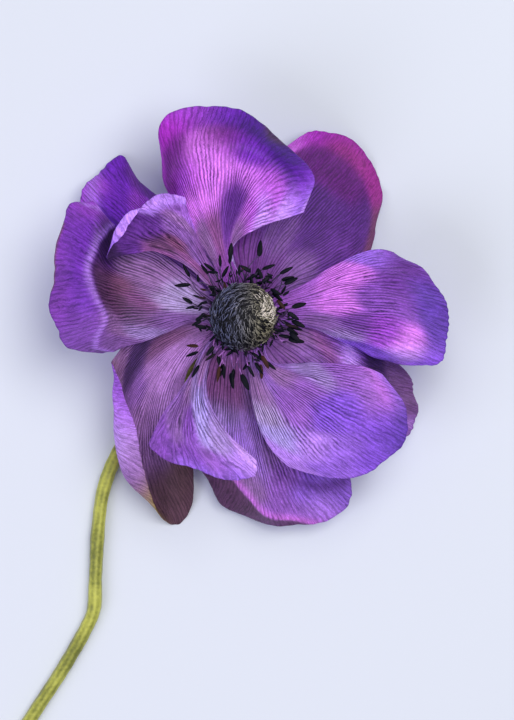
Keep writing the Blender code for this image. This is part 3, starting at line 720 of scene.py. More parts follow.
# Many of the strokes below are painted light and shade: highlights along fold crests and margins, shade
# on the far sides of folds, and shadows that tepals cast on each other.
STROKES = {
    "tepal_top": (
        ("cocoa", 0.70, 0.06, 0.06, ((0.0, 1.3), (0.52, 1.16), (0.64, 0.97), (0.76, 1.16), (1.0, 1.3))),
        ("pearl", 0.50, 0.01, 0.04, ((0.0, 1.6), (0.80, 1.5), (0.90, 1.02), (1.0, 0.97))),
    ),
    "tepal_upper_right": (
        ("magenta", 0.35, 0.04, WIDE,
         ((0.0, 0.97), (0.2, 0.93), (0.4, 0.98), (0.6, 1.03), (0.8, 1.1), (1.0, 1.2))),
    ),
    "tepal_left": (
        ("amethyst", 0.25, 0.02, WIDE, LEFT_CREST),
        # Painted shade: the night stroke darkens the inner wall just inside the crest.
        ("night", 0.50, 0.11, 0.0,
         ((0.0, 0.8, 0), (0.30, 0.74, 0), (0.46, 0.76, 0.5), (0.66, 0.78, 0.7), (0.84, 0.77, 1),
          (1.0, 0.8, 0))),
        # Painted highlight: a thin lavender line along the crest.
        ("lavender", 0.65, 0.015, 0.022, LEFT_CREST),
        ("bronze", 0.7, 0.008, WIDE,
         ((0.0, 1, 0), (0.42, 1, 0), (0.52, 1, 1), (0.70, 0.995, 1), (0.78, 1, 0), (1.0, 1, 0))),
        # Painted highlight: a lavender band along the upper margin, where it meets the tepal behind.
        ("lavender", 0.55, 0.04, 0.05, ((0.0, 1.3), (0.80, 1.2), (0.93, 0.96), (1.0, 0.88))),
    ),
    "tepal_upper_left_back": (
        # Painted highlight: a lavender band along the left margin near the tip.
        ("lavender", 0.55, 0.06, 0.05, ((0.0, 0.90), (0.2, 0.96), (0.35, 1.05), (1.0, 1.5))),
    ),
    "tepal_bottom": (
        # Painted shade: the mulberry wash darkens the side beyond the fold, which turns away from the
        # light.
        ("mulberry", 0.90, 0.0, WIDE, BOTTOM_CREST),
        # Painted highlight: a rose line along the fold's crest.
        ("rose", 0.85, 0.035, 0.02, BOTTOM_CREST),
        # Painted shadow: a plum band where the lower right tepal shades this one.
        ("plum", 0.65, 0.03, 0.045,
         ((0.0, 1.02, 1), (0.12, 0.91, 1), (0.20, 0.84, 1), (0.32, 0.72, 0.6), (0.45, 0.62, 0),
          (1.0, 0.5, 0))),
    ),
    "tepal_right_back": (
        # Painted highlight: the pearl stroke along the fold's crest. Painted shade: the night stroke just
        # beyond it, under the tepals in front.
        ("pearl", 1.0, 0.06, 0.05, ((0.0, 0.57), (0.2, 0.55), (0.5, 0.57), (1.0, 0.6))),
        ("night", 0.80, 0.04, 0.05, ((0.0, 0.72), (0.2, 0.69), (0.5, 0.71), (1.0, 0.7))),
    ),
    "tepal_lower_left": (
        # Painted shade: the cocoa wash darkens the tepal's far end at low across, which lies in shade.
        ("cocoa", 0.85, 0.10, WIDE,
         ((0.0, 0.80, 1), (0.3, 0.84, 1), (0.40, 0.95, 0.7), (0.5, 1.1, 0), (1.0, 1.4, 0))),
    ),
    "tepal_upper_left": (
        ("lavender", 0.85, 0.05, WIDE,
         ((0.0, 1.4), (0.26, 1.05), (0.40, 0.95), (0.56, 0.88), (0.84, 0.92), (1.0, 0.96))),
    ),
}
print("strokes:", sum(len(strokes) for strokes in STROKES.values()))

# %% Undersides, and how strong it all is
# The undersides are paler and plainer.
BACK_SPOTS = {
    "tepal_lower_left": (("amethyst", 0.95, 0.85), ("amethyst", 0.90, 0.95), ("wisteria", 0.82, 0.88),
                         ("wisteria", 0.74, 0.90), ("lilac", 0.66, 0.88), ("blossom", 0.60, 0.93),
                         ("heather", 0.53, 0.95), ("moss", 0.44, 1.0)),
    "tepal_upper_left": (("lavender", 0.2, 0.9), ("lavender", 0.4, 0.95), ("iris", 0.1, 1.0)),
}
PLAIN_BACK = (("milk", 0.5, 0.0), ("lilac", 0.5, 0.4), ("iris", 0.5, 0.9))
# Painted light and shade: how bright each tepal's front is made as a whole against its spots' own
# colours, for the light it gets.
PAINTED_LIGHT_AND_SHADE = {
    "tepal_upper_right": 0.92, "tepal_lower_left": 1.5, "tepal_upper_left": 1.36, "tepal_top": 1.15,
    "tepal_left": 0.96, "tepal_right_back": 1.3, "tepal_lower_right": 0.98, "tepal_lower_front": 1.08,
    "tepal_right": 1.0, "tepal_bottom": 0.93,
}
USUAL_PAINTED_LIGHT = 1.1
BACK_BRIGHTNESS = 1.4
# How strongly the veins show, where it is less than usual.
VEIN_STRENGTH = {"tepal_upper_right": 0.7, "tepal_right_back": 0.8}
print("tepals with a brightness of their own:", len(PAINTED_LIGHT_AND_SHADE))

# %% Blending the colours
SPOT_SIZE = 0.07
SPOT_WIDTH = 0.8
# A spot's weak reach to places that no spot is near, and how far that reach stays level.
FAR_STRENGTH = 1e-4
FAR_SIZE = 0.01
# Spots are blended as the eye sees them: light amounts raised to this power.
BY_EYE = 0.45
DEEPEN = 1.06
THIN = 1e-6


def painted(spots, strokes, across, along):
    """The spots blended at each place of a tepal's side, then its strokes laid over them."""
    total = np.zeros((*across.shape, 3))
    weight = np.zeros(across.shape)
    for color, at_across, at_along in spots:
        apart = ((across - at_across) * SPOT_WIDTH) ** 2 + (along - at_along) ** 2
        strength = np.exp(-apart / SPOT_SIZE ** 2) + FAR_STRENGTH / (apart + FAR_SIZE)
        total += strength[:, :, None] * np.array(linear(COLORS[color])) ** BY_EYE
        weight += strength
    result = (total / weight[:, :, None]) ** (1 / BY_EYE)
    for color, strength, before, beyond, line in strokes:
        course = smooth(line, np.linspace(0, 1, LINE_STATIONS))
        apart = along - np.interp(across, course[:, 0], course[:, 1])
        part = strength * np.exp(-(apart / np.where(apart < 0, before + THIN, beyond + THIN)) ** 2)
        if course.shape[1] == 3:
            part = part * np.interp(across, course[:, 0], course[:, 2])
        result = result * (1 - part[:, :, None]) + np.array(linear(COLORS[color])) * part[:, :, None]
    return result ** DEEPEN


print("a spot's size, as a part of the tepal's length:", SPOT_SIZE)

# %% [markdown]
# ## The tepals: finish and veins
# The finish is soft and satin, with fine dark veins that fork as they run outwards, a faint mottle
# and a downy sheen. The veins are real furrows too: a Geometry Nodes tree sinks them into the front
# and lifts them on the back. It also writes the course that the veins follow, and the finish draws
# the same lines from it, finer than the mesh could hold them.

# %% Veins as a formula
# For each order of veins: how many there are for each vein of the claw, how wide they are, where
# along the tepal they start, where they are whole, and how strong they are.
VEIN_FORKS = ((1, 0.30, -0.2, -0.1, 1.0), (2, 0.50, 0.08, 0.24, 1.0), (4, 0.88, 0.20, 0.46, 1.0),
              (8, 1.0, 0.62, 0.90, 0.7))


def vein_lines(nodes, course, along):
    """1 on a vein and 0 between. Each fork doubles their number, up to eight for one."""
    veins = 0.0
    for forks, width, start, stop, strength in VEIN_FORKS:
        apart = nodes.times(nodes.math("PINGPONG", nodes.times(course, forks), 0.5), 2.0)
        line = nodes.times(nodes.step(apart, 0.0, width, 1.0, 0.0),
                           nodes.step(along, start, stop, 0.0, strength))
        veins = nodes.math("MAXIMUM", veins, line)
    return veins


print("orders of veins:", len(VEIN_FORKS))


# %% Tepal finish
def tepal_finish():
    material, nodes, shader = new_material("tepal")
    paint = nodes.add("ShaderNodeAttribute", 0, {"attribute_name": "paint"})
    strength = nodes.add("ShaderNodeAttribute", 3, {"attribute_name": "paint"})
    uneven = nodes.add("ShaderNodeAttribute", 2, {"attribute_name": "uneven"})
    course = nodes.add("ShaderNodeAttribute", 2, {"attribute_name": "course"})
    along = nodes.add("ShaderNodeAttribute", 2, {"attribute_name": "along"})
    place = nodes.add("ShaderNodeTexCoord", 3)
    streaks = nodes.noise(nodes.vector(nodes.times(course, 7.0), nodes.times(along, 14.0)), 1.0, 3.0)
    mottle = nodes.noise(place, 1900.0, 3.0, 0.65)
    zigzag = nodes.math("SUBTRACT", nodes.noise(place, 1300.0, 2.0), 0.5)
    wavy = nodes.total(course, nodes.times(zigzag, nodes.step(along, 0.2, 0.9, 0.04, 0.20)))
    broken = nodes.step(mottle, 0.30, 0.58, nodes.step(along, 0.35, 0.85, 0.8, 0.1),
                        nodes.step(along, 0.55, 0.85, 1.0, 0.75))
    dark = nodes.times(vein_lines(nodes, wavy, along), uneven, strength, broken)
    grain = nodes.times(nodes.math("SUBTRACT", nodes.step(mottle, 0.36, 0.62), 0.5),
                        nodes.step(along, 0.35, 0.85, 0.35, 0.55))
    light = nodes.total(1.27, grain, nodes.step(streaks, 0.36, 0.64, -0.25, 0.25))
    gray = nodes.add("ShaderNodeCombineColor", Red=light, Green=light, Blue=light)
    ridge = nodes.blend(1.0, paint, gray, "MULTIPLY")
    furrow = nodes.blend(1.0, ridge, (*linear("#3E2256"), 1.0), "MULTIPLY")
    color = nodes.blend(dark, ridge, furrow)
    nodes.feed(shader.inputs["Base Color"], color)
    nodes.feed(shader.inputs["Roughness"], nodes.total(0.42, nodes.times(mottle, 0.25)))
    pebble = nodes.total(nodes.noise(place, 2600.0, 2.0), mottle)
    bump = nodes.add("ShaderNodeBump", Strength=0.35, Distance=0.00010, Height=pebble)
    nodes.feed(shader.inputs["Normal"], bump)
    shader.inputs["Sheen Weight"].default_value = 0.03
    shader.inputs["Sheen Roughness"].default_value = 0.4
    shader.inputs["Sheen Tint"].default_value = (*linear("#D8B8FF"), 1.0)
    shader.inputs["Specular IOR Level"].default_value = 0.20
    return material


TEPAL_FINISH = tepal_finish()
print("tepal finish nodes:", len(TEPAL_FINISH.node_tree.nodes))


# %% Vein relief
def vein_relief():
    tree, nodes, given, leave = new_growth(
        "vein relief", Vein_Count=12.0, Vein_Depth=0.09, Crinkle_Height=0.07, Seed=1.0,
        Material=TEPAL_FINISH)

    across = read_attribute(nodes, "across")
    along = read_attribute(nodes, "along")
    face = read_attribute(nodes, "face", "FLOAT_VECTOR")
    seed = given["Seed"]
    sway_place = nodes.vector(nodes.times(across, 3.0), nodes.times(along, 1.6), seed)
    sway = nodes.math("SUBTRACT", nodes.noise(sway_place, 1.0, 2.0), 0.5)
    stray_place = nodes.vector(nodes.times(across, 12.0), nodes.times(along, 5.0), seed)
    stray = nodes.math("SUBTRACT", nodes.noise(stray_place, 1.0, 2.0), 0.5)
    course = nodes.total(nodes.times(across, given["Vein Count"]), nodes.times(sway, 1.2),
                         nodes.times(stray, 0.55))

    veins = vein_lines(nodes, course, along)
    patch_place = nodes.vector(nodes.times(across, 9.0), nodes.times(along, 7.0), seed)
    uneven = nodes.step(nodes.noise(patch_place, 1.0, 2.0), 0.30, 0.65, 0.55, 1.0)
    depth = nodes.times(veins, uneven, nodes.step(along, 0.55, 0.95, 1.0, 0.45))
    crinkle_place = nodes.vector(nodes.times(across, 14.0), nodes.times(along, 10.0), seed)
    crinkle = nodes.math("SUBTRACT", nodes.noise(crinkle_place, 1.0, 3.0), 0.5)
    height = nodes.times(crinkle, given["Crinkle Height"], nodes.step(along, 0.05, 0.3))
    height = nodes.math("SUBTRACT", height, nodes.times(depth, given["Vein Depth"]))
    offset = nodes.add("ShaderNodeVectorMath", 0, {"operation": "SCALE"}, _0=face,
                       Scale=nodes.times(height, MM))
    moved = nodes.add("GeometryNodeSetPosition", Geometry=given["Geometry"], Offset=offset)
    kept = nodes.add("GeometryNodeStoreNamedAttribute", Geometry=moved, Name="uneven", Value=uneven)
    kept = nodes.add("GeometryNodeStoreNamedAttribute", Geometry=kept, Name="course", Value=course)
    finish_growth(nodes, kept, given["Material"], leave)
    return tree


VEIN_RELIEF = vein_relief()
print("vein relief nodes:", len(VEIN_RELIEF.nodes))

# %% Making the tepals
# The gap between the claw's veins, in millimetres, and how fast the wall thins at the margins.
VEIN_GAP = 2.6
TEPAL_SEED = 100
SIDE_THINNING = 8
TIP_THINNING = 10
WALL_ROUNDING = 0.6
WIDEST_ROW = 3 / 5


def make_tepal(name, number):
    chance = random.Random(TEPAL_SEED + number)
    fine, normal = living_surface(name, chance)
    columns, rows = fine.shape[:2]
    across, along = np.meshgrid(np.linspace(0, 1, columns), np.linspace(0, 1, rows), indexing="ij")
    margin = np.minimum(np.minimum(across, 1 - across) * SIDE_THINNING, (1 - along) * TIP_THINNING)
    wall = EDGE_WALL + (HALF_WALL - EDGE_WALL) * np.clip(margin, 0, 1) ** WALL_ROUNDING
    points = np.concatenate((fine + normal * wall[:, :, None], fine - normal * wall[:, :, None]))
    mesh = bpy.data.meshes.new(name)
    mesh.from_pydata(placed(points.reshape(-1, 3)).tolist(), [], shell_faces(columns, rows).tolist())
    for label, kind, values in (("across", "FLOAT", across), ("along", "FLOAT", along),
                                ("face", "FLOAT_VECTOR", normal)):
        store(mesh, label, kind, np.concatenate((values, values)))
    colors = np.ones((2 * columns, rows, 4))
    colors[:columns, :, :3] = painted(SPOTS[name], STROKES.get(name, ()), across, along)
    colors[columns:, :, :3] = painted(BACK_SPOTS.get(name, PLAIN_BACK), (), across, along)
    # Painted light and shade for each tepal's front as a whole.
    colors[:columns, :, :3] *= PAINTED_LIGHT_AND_SHADE.get(name, USUAL_PAINTED_LIGHT)
    colors[columns:, :, :3] *= BACK_BRIGHTNESS
    colors[:, :, 3] = VEIN_STRENGTH.get(name, 1.0)
    store(mesh, "paint", "FLOAT_COLOR", colors)
    source = bpy.data.objects.new(name + "_source", mesh)
    bpy.context.scene.collection.objects.link(source)
    width = np.linalg.norm(np.diff(fine[:, int(rows * WIDEST_ROW)], axis=0), axis=1).sum()
    piece = grown(source, VEIN_RELIEF, name.replace("tepal", "petal"), Seed=float(number),
                  Vein_Count=width / VEIN_GAP)
    finished(piece, "tepal", name)


for number, name in enumerate(TEPALS):
    make_tepal(name, number)

# %% [markdown]
# ## The pistil head
# The dark dome is a few hundred carpels packed in spirals, each ending in a thin bent style, so it
# looks like a worn bristle brush, near black with dull gold and olive lights. Those lights are a
# painted highlight: bristles that face the key lamp get paler tones, and the dome's right side is
# painted paler. One bent bristle is grown by Geometry Nodes on every point of a golden angle
# spiral, over a plain dark core.

# %% Pistil finish
def pistil_finish():
    material, nodes, shader = new_material("pistil")
    tone = nodes.add("ShaderNodeAttribute", 2, {"attribute_name": "tone"})
    place = nodes.add("ShaderNodeTexCoord", 3)
    mottle = nodes.noise(place, 1500.0, 2.0)
    mixed = nodes.total(tone, nodes.times(mottle, 0.5), -0.25)
    side = nodes.add("ShaderNodeSeparateXYZ", 0, Vector=place)
    # Painted light: the dome's right side, toward the key lamp, gets a paler olive; the left side a dark
    # blue grey.
    painted_light_side = nodes.step(side, float(MIDDLE[0]) - 4 * MM, float(MIDDLE[0]) + 5 * MM)
    olive = nodes.blend(painted_light_side, (*linear("#6A7098"), 1), (*linear("#9C987E"), 1))
    dark = nodes.blend(nodes.step(mixed, 0.28, 0.66), (*linear("#080A16"), 1), olive)
    # Painted highlight: the highest tones, most of them on bristles that face the key lamp, turn near
    # white.
    color = nodes.blend(nodes.step(mixed, 0.72, 1.12), dark, (*linear("#FFF8EE"), 1))
    nodes.feed(shader.inputs["Base Color"], color)
    nodes.feed(shader.inputs["Roughness"], nodes.step(mottle, 0.3, 0.7, 0.35, 0.6))
    return material


PISTIL_FINISH = pistil_finish()
print("pistil finish nodes:", len(PISTIL_FINISH.node_tree.nodes))


# %% Solids turned about the flower's axis
def turned(profile, segments, lean=0.0, lean_from=0.0):
    """Points and faces of a solid turned about +Z, with closed ends."""
    points = []
    for radius, height in profile:
        shift = lean * max(height - lean_from, 0.0)
        for k in range(segments):
            angle = math.tau * k / segments
            points.append((radius * math.cos(angle) + shift, radius * math.sin(angle), height))
    faces = [tuple(reversed(range(segments)))]
    for ring in range(len(profile) - 1):
        for k in range(segments):
            a = ring * segments + k
            b = ring * segments + (k + 1) % segments
            faces.append((a, b, b + segments, a + segments))
    last = (len(profile) - 1) * segments
    faces.append(tuple(range(last, last + segments)))
    return points, faces


def mesh_object(name, points, faces):
    mesh = bpy.data.meshes.new(name)
    mesh.from_pydata(placed(points).tolist(), [], faces)
    item = bpy.data.objects.new(name, mesh)
    bpy.context.scene.collection.objects.link(item)
    return item


print("turned solids ready")

# %% The pistil's core
PISTIL_RADIUS = 6.9
PISTIL_WAIST = 3.4
PISTIL_BOTTOM = 3.3
PISTIL_BELLY = 5.3
PISTIL_TOP = 9.2
PISTIL_LEAN = 0.42
BRISTLE_COVER = 0.55
UNDERSIDE_STEPS = 10
DOME_STEPS = 24
TURN_SEGMENTS = 64


def pistil_core():
    """The dome under the bristles, from its waist over its belly to its top."""
    profile = []
    core = PISTIL_RADIUS - BRISTLE_COVER
    for step in range(UNDERSIDE_STEPS):
        angle = math.pi / 2 * step / UNDERSIDE_STEPS
        radius = PISTIL_WAIST + (core - PISTIL_WAIST) * math.sin(angle)
        profile.append((radius, PISTIL_BELLY - (PISTIL_BELLY - PISTIL_BOTTOM) * math.cos(angle)))
    for step in range(DOME_STEPS):
        angle = math.pi / 2 * step / DOME_STEPS
        rise = PISTIL_TOP - BRISTLE_COVER - PISTIL_BELLY
        profile.append((core * math.cos(angle), PISTIL_BELLY + rise * math.sin(angle)))
    return turned(profile, TURN_SEGMENTS, PISTIL_LEAN, PISTIL_BELLY)


print("pistil, in millimetres:", 2 * PISTIL_RADIUS, "across,", PISTIL_TOP, "high")

# %% Bristles
GOLDEN_ANGLE = math.pi * (3 - math.sqrt(5))


def bristle_growth():
    tree, nodes, given, leave = new_growth(
        "bristles", Count=1700, Radius=PISTIL_RADIUS - 0.5, Height=PISTIL_TOP - PISTIL_BELLY - 0.5,
        Length=1.75, Thickness=0.07, Seed=3, Material=PISTIL_FINISH)
    index = nodes.add("GeometryNodeInputIndex")
    part = nodes.math("DIVIDE", nodes.total(index, 0.5), given["Count"])
    polar = nodes.times(nodes.math("ARCCOSINE", nodes.math("SUBTRACT", 1.0, part)), 1.12)
    turn = nodes.times(index, GOLDEN_ANGLE)
    flat = nodes.math("SINE", polar)
    x = nodes.times(flat, nodes.math("COSINE", turn))
    y = nodes.times(flat, nodes.math("SINE", turn))
    z = nodes.math("COSINE", polar)
    rise = nodes.times(z, given["Height"])
    lean = nodes.times(nodes.math("MAXIMUM", rise, 0.0), PISTIL_LEAN)
    spot = nodes.vector(nodes.total(nodes.times(x, given["Radius"]), lean),
                        nodes.times(y, given["Radius"]), nodes.total(rise, PISTIL_BELLY))
    spot = nodes.add("ShaderNodeVectorMath", 0, {"operation": "SCALE"}, _0=spot, Scale=MM)
    spot = nodes.add("ShaderNodeVectorMath", 0, {"operation": "ADD"}, _0=spot, _1=tuple(MIDDLE))
    points = nodes.add("GeometryNodePoints", Count=given["Count"], Position=spot)
    length = nodes.times(given["Length"], MM)
    bend = nodes.vector(nodes.times(length, 0.15), 0.0, nodes.times(length, 0.30))
    tip = nodes.vector(nodes.times(length, 0.90), nodes.times(length, 0.12), nodes.times(length, 0.16))
    line = nodes.add("GeometryNodeCurveQuadraticBezier", Resolution=4, Middle=bend, End=tip,
                     Start=(0.0, 0.0, 0.0))
    along = nodes.add("GeometryNodeSplineParameter")
    taper = nodes.math("SUBTRACT", 1.0, nodes.times(along, 0.35))
    line = nodes.add("GeometryNodeSetCurveRadius", Curve=line, Radius=taper)
    circle = nodes.add("GeometryNodeCurvePrimitiveCircle", Resolution=4,
                       Radius=nodes.times(given["Thickness"], MM))
    bristle = nodes.add("GeometryNodeCurveToMesh", Curve=line, Profile_Curve=circle, Fill_Caps=True)
    normal = nodes.vector(x, y, nodes.times(z, 1.4))
    spin_out = nodes.add("FunctionNodeAlignRotationToVector", 0, {"axis": "Z"}, Vector=normal)
    inward = nodes.vector(nodes.math("SUBTRACT", 0.30, x), nodes.math("SUBTRACT", 0.25, y), 0.2)
    leaning = nodes.add("FunctionNodeAlignRotationToVector", 0, {"axis": "X", "pivot_axis": "Z"},
                        Rotation=spin_out, Vector=inward)

    def dice(low, high, offset):
        return nodes.add("FunctionNodeRandomValue", 1, {"data_type": "FLOAT"}, _2=low, _3=high,
                         Seed=nodes.total(given["Seed"], offset))

    turned_by = nodes.add("FunctionNodeEulerToRotation",
                          _0=nodes.vector(dice(-0.5, 0.5, 1), dice(-0.25, 0.1, 2), dice(0.1, 0.9, 3)))
    pose = nodes.add("FunctionNodeRotateRotation", 0, {"rotation_space": "LOCAL"},
                     _0=leaning, _1=turned_by)
    # Painted highlight: bristles that face the key lamp, on the upper right, get lighter tones over their
    # random ones.
    toward_key_lamp = nodes.total(nodes.times(x, 0.72), nodes.times(y, 0.42), nodes.times(z, 0.30))
    tone = nodes.times(dice(0.0, 1.0, 5), nodes.step(toward_key_lamp, 0.50, 0.95, 0.80, 1.9))
    points = nodes.add("GeometryNodeStoreNamedAttribute", Geometry=points, Name="tone", Value=tone)
    bristles = nodes.add("GeometryNodeInstanceOnPoints", Points=points, Instance=bristle,
                         Rotation=pose, Scale=dice(0.7, 1.25, 4))
    joined = nodes.add("GeometryNodeJoinGeometry", _0=[bristles, given["Geometry"]])
    finish_growth(nodes, joined, given["Material"], leave)
    return tree


pistil = grown(mesh_object("pistil_core", *pistil_core()), bristle_growth(), "pistil_head")
finished(pistil, "pistil", "pistil")

# %% [markdown]
# ## The stamens
# Around the head stand more than a hundred stamens, each a thread-thin violet filament with a dark,
# oval, two-lobed anther at its tip, pointing every way once the flower has opened. The ones that
# stand clear are listed one by one and the short, crowded ones placed by a seeded chance. All are
# drawn as lines, and Geometry Nodes give them their thickness and their anthers.

# %% Stamen finishes
def filament_finish():
    material, nodes, shader = new_material("filament")
    place = nodes.add("ShaderNodeTexCoord", 3)
    mottle = nodes.noise(place, 700.0, 2.0)
    side = nodes.add("ShaderNodeSeparateXYZ", 1, Vector=place)
    below = nodes.step(side, float(MIDDLE[1]) - 7 * MM, float(MIDDLE[1]) - 1 * MM, 1.0, 0.0)
    low = nodes.blend(below, (*linear("#1C1430"), 1), (*linear("#4A2466"), 1))
    high = nodes.blend(below, (*linear("#54346E"), 1), (*linear("#A868C4"), 1))
    color = nodes.blend(nodes.step(mottle, 0.35, 0.65), low, high)
    nodes.feed(shader.inputs["Base Color"], color)
    shader.inputs["Roughness"].default_value = 0.5
    return material


def anther_finish():
    material, nodes, shader = new_material("anther")
    place = nodes.add("ShaderNodeTexCoord", 3)
    grain = nodes.noise(place, 3200.0, 3.0, 0.7)
    tone = nodes.add("ShaderNodeAttribute", 2, {"attribute_name": "tone"})
    dusty = nodes.step(nodes.total(grain, nodes.times(tone, 0.25)), 0.55, 0.95)
    color = nodes.blend(dusty, (*linear("#040814"), 1), (*linear("#141622"), 1))
    color = nodes.blend(nodes.step(tone, 0.88, 1.0, 0.0, 0.7), color, (*linear("#4A2C20"), 1))
    nodes.feed(shader.inputs["Base Color"], color)
    nodes.feed(shader.inputs["Roughness"], nodes.step(grain, 0.3, 0.7, 0.40, 0.65))
    bump = nodes.add("ShaderNodeBump", Strength=0.5, Distance=0.00006, Height=grain)
    nodes.feed(shader.inputs["Normal"], bump)
    shader.inputs["Specular IOR Level"].default_value = 0.12
    return material


FILAMENT_FINISH = filament_finish()
ANTHER_FINISH = anther_finish()
print("stamen finishes ready")

# %% The anthers that stand clear
# The anthers that stand clear, anticlockwise from the right: bearing in degrees and reach in
# millimetres of the anther's foot, the bearing its tip points to, and its size.
ANTHERS = (
    (5, 9.6, -35, 1.0), (11, 10.6, 15, 1.1), (13, 7.8, 30, 0.8), (25, 8.0, -50, 0.9),
    (38, 8.0, -40, 1.0), (38, 11.2, 25, 1.1), (44, 8.2, -30, 0.9), (43, 11.2, 15, 1.0),
    (49, 12.0, 27, 1.1), (53, 10.0, 130, 0.6), (60, 8.4, 40, 0.9), (64, 9.0, 110, 0.8),
    (67, 7.6, 5, 0.9), (67, 10.8, 20, 1.0), (72, 8.6, 75, 0.8), (75, 13.2, 85, 1.2),
    (81, 9.6, 150, 0.9), (84, 7.8, 25, 0.8), (95, 8.8, 90, 0.8), (102, 12.8, 85, 1.1),
    (104, 11.6, 80, 1.0), (114, 11.6, 92, 0.9), (117, 9.4, 60, 1.0), (120, 10.6, 175, 0.8),
    (122, 11.4, 145, 1.0), (129, 11.6, 128, 0.9), (143, 7.2, 110, 0.8), (142, 11.8, 95, 0.6),
    (143, 14.0, 118, 1.1), (149, 13.0, 184, 1.2), (156, 9.8, 160, 0.6), (165, 11.0, 150, 0.9),
    (168, 10.4, 195, 0.7), (177, 7.8, 205, 0.9), (186, 8.8, 205, 0.8), (197, 8.0, 170, 0.9),
    (213, 11.2, 178, 0.9), (218, 12.0, 200, 1.0), (228, 13.8, 240, 1.1), (226, 8.8, 230, 0.9),
    (233, 9.8, 215, 0.9), (238, 9.8, 285, 1.0), (245, 11.6, 262, 1.2), (248, 10.8, 272, 1.1),
    (251, 11.6, 230, 0.9), (258, 12.2, 280, 1.2), (260, 11.2, 265, 1.1), (269, 12.2, 295, 1.3),
    (276, 10.4, 300, 1.0), (278, 9.6, 230, 0.8), (284, 7.8, 325, 1.1), (285, 10.0, 305, 1.1),
    (290, 10.8, 275, 1.1), (296, 9.2, 298, 1.1), (297, 10.4, 320, 1.1), (333, 8.6, 350, 1.1),
    (334, 10.8, 350, 1.2), (337, 7.6, 5, 0.8), (341, 10.4, 320, 1.1), (345, 9.6, 330, 1.0),
    (348, 10.2, 345, 1.0), (349, 9.2, 350, 1.0), (355, 10.4, 335, 1.1), (354, 8.0, 335, 1.0),
)
print("anthers placed by hand:", len(ANTHERS))

# %% Stamen threads
# The short stamens: how many, how far out their anthers' feet are at least and how much farther at
# most, how far their bearings and headings stray in degrees, and their sizes.
SHORT_STAMENS = 96
SHORT_REACH = 6.4
SHORT_REACH_MORE = 3.4
SHORT_STRAY = 5
SHORT_TURN = 80
SHORT_SIZES = (0.25, 0.75)
STAMEN_SEED = 5
FILAMENT_SWING = 16
FILAMENT_POINTS = 8
FOOT_HEIGHT = 1.3
TIP_HEIGHTS = (4.3, 5.8)


def stamen_threads():
    """One poly spline for each filament, from the receptacle to the anther's foot."""
    chance = random.Random(STAMEN_SEED)
    curve = bpy.data.curves.new("threads", "CURVE")
    curve.dimensions = "3D"
    stamens = list(ANTHERS)
    for k in range(SHORT_STAMENS):
        bearing = 360 * k / SHORT_STAMENS + chance.uniform(-SHORT_STRAY, SHORT_STRAY)
        reach = SHORT_REACH + SHORT_REACH_MORE * chance.random() ** 2
        heading = bearing + chance.uniform(-SHORT_TURN, SHORT_TURN)
        stamens.append((bearing, reach, heading, chance.uniform(*SHORT_SIZES)))
    for bearing, reach, heading, size in stamens:
        turn = math.radians(bearing)
        swing = math.radians(chance.uniform(-FILAMENT_SWING, FILAMENT_SWING))
        top = chance.uniform(*TIP_HEIGHTS)
        points = []
        for part in np.linspace(0, 1, FILAMENT_POINTS):
            angle = turn + swing * (1 - part) * (1 + part)
            radius = CLAW_RADIUS + (reach - CLAW_RADIUS) * part
            height = FOOT_HEIGHT + (top - FOOT_HEIGHT) * math.sin(math.pi / 2 * part) ** 1.2
            points.append((radius * math.cos(angle), radius * math.sin(angle), height))
        spline = curve.splines.new("POLY")
        spline.points.add(len(points) - 1)
        for place, point in zip(spline.points, placed(points)):
            place.co = (*point, 1.0)
            place.radius = size
            place.tilt = math.radians(heading)
    threads = bpy.data.objects.new("threads", curve)
    bpy.context.scene.collection.objects.link(threads)
    return threads


print("stamens:", len(ANTHERS) + SHORT_STAMENS)


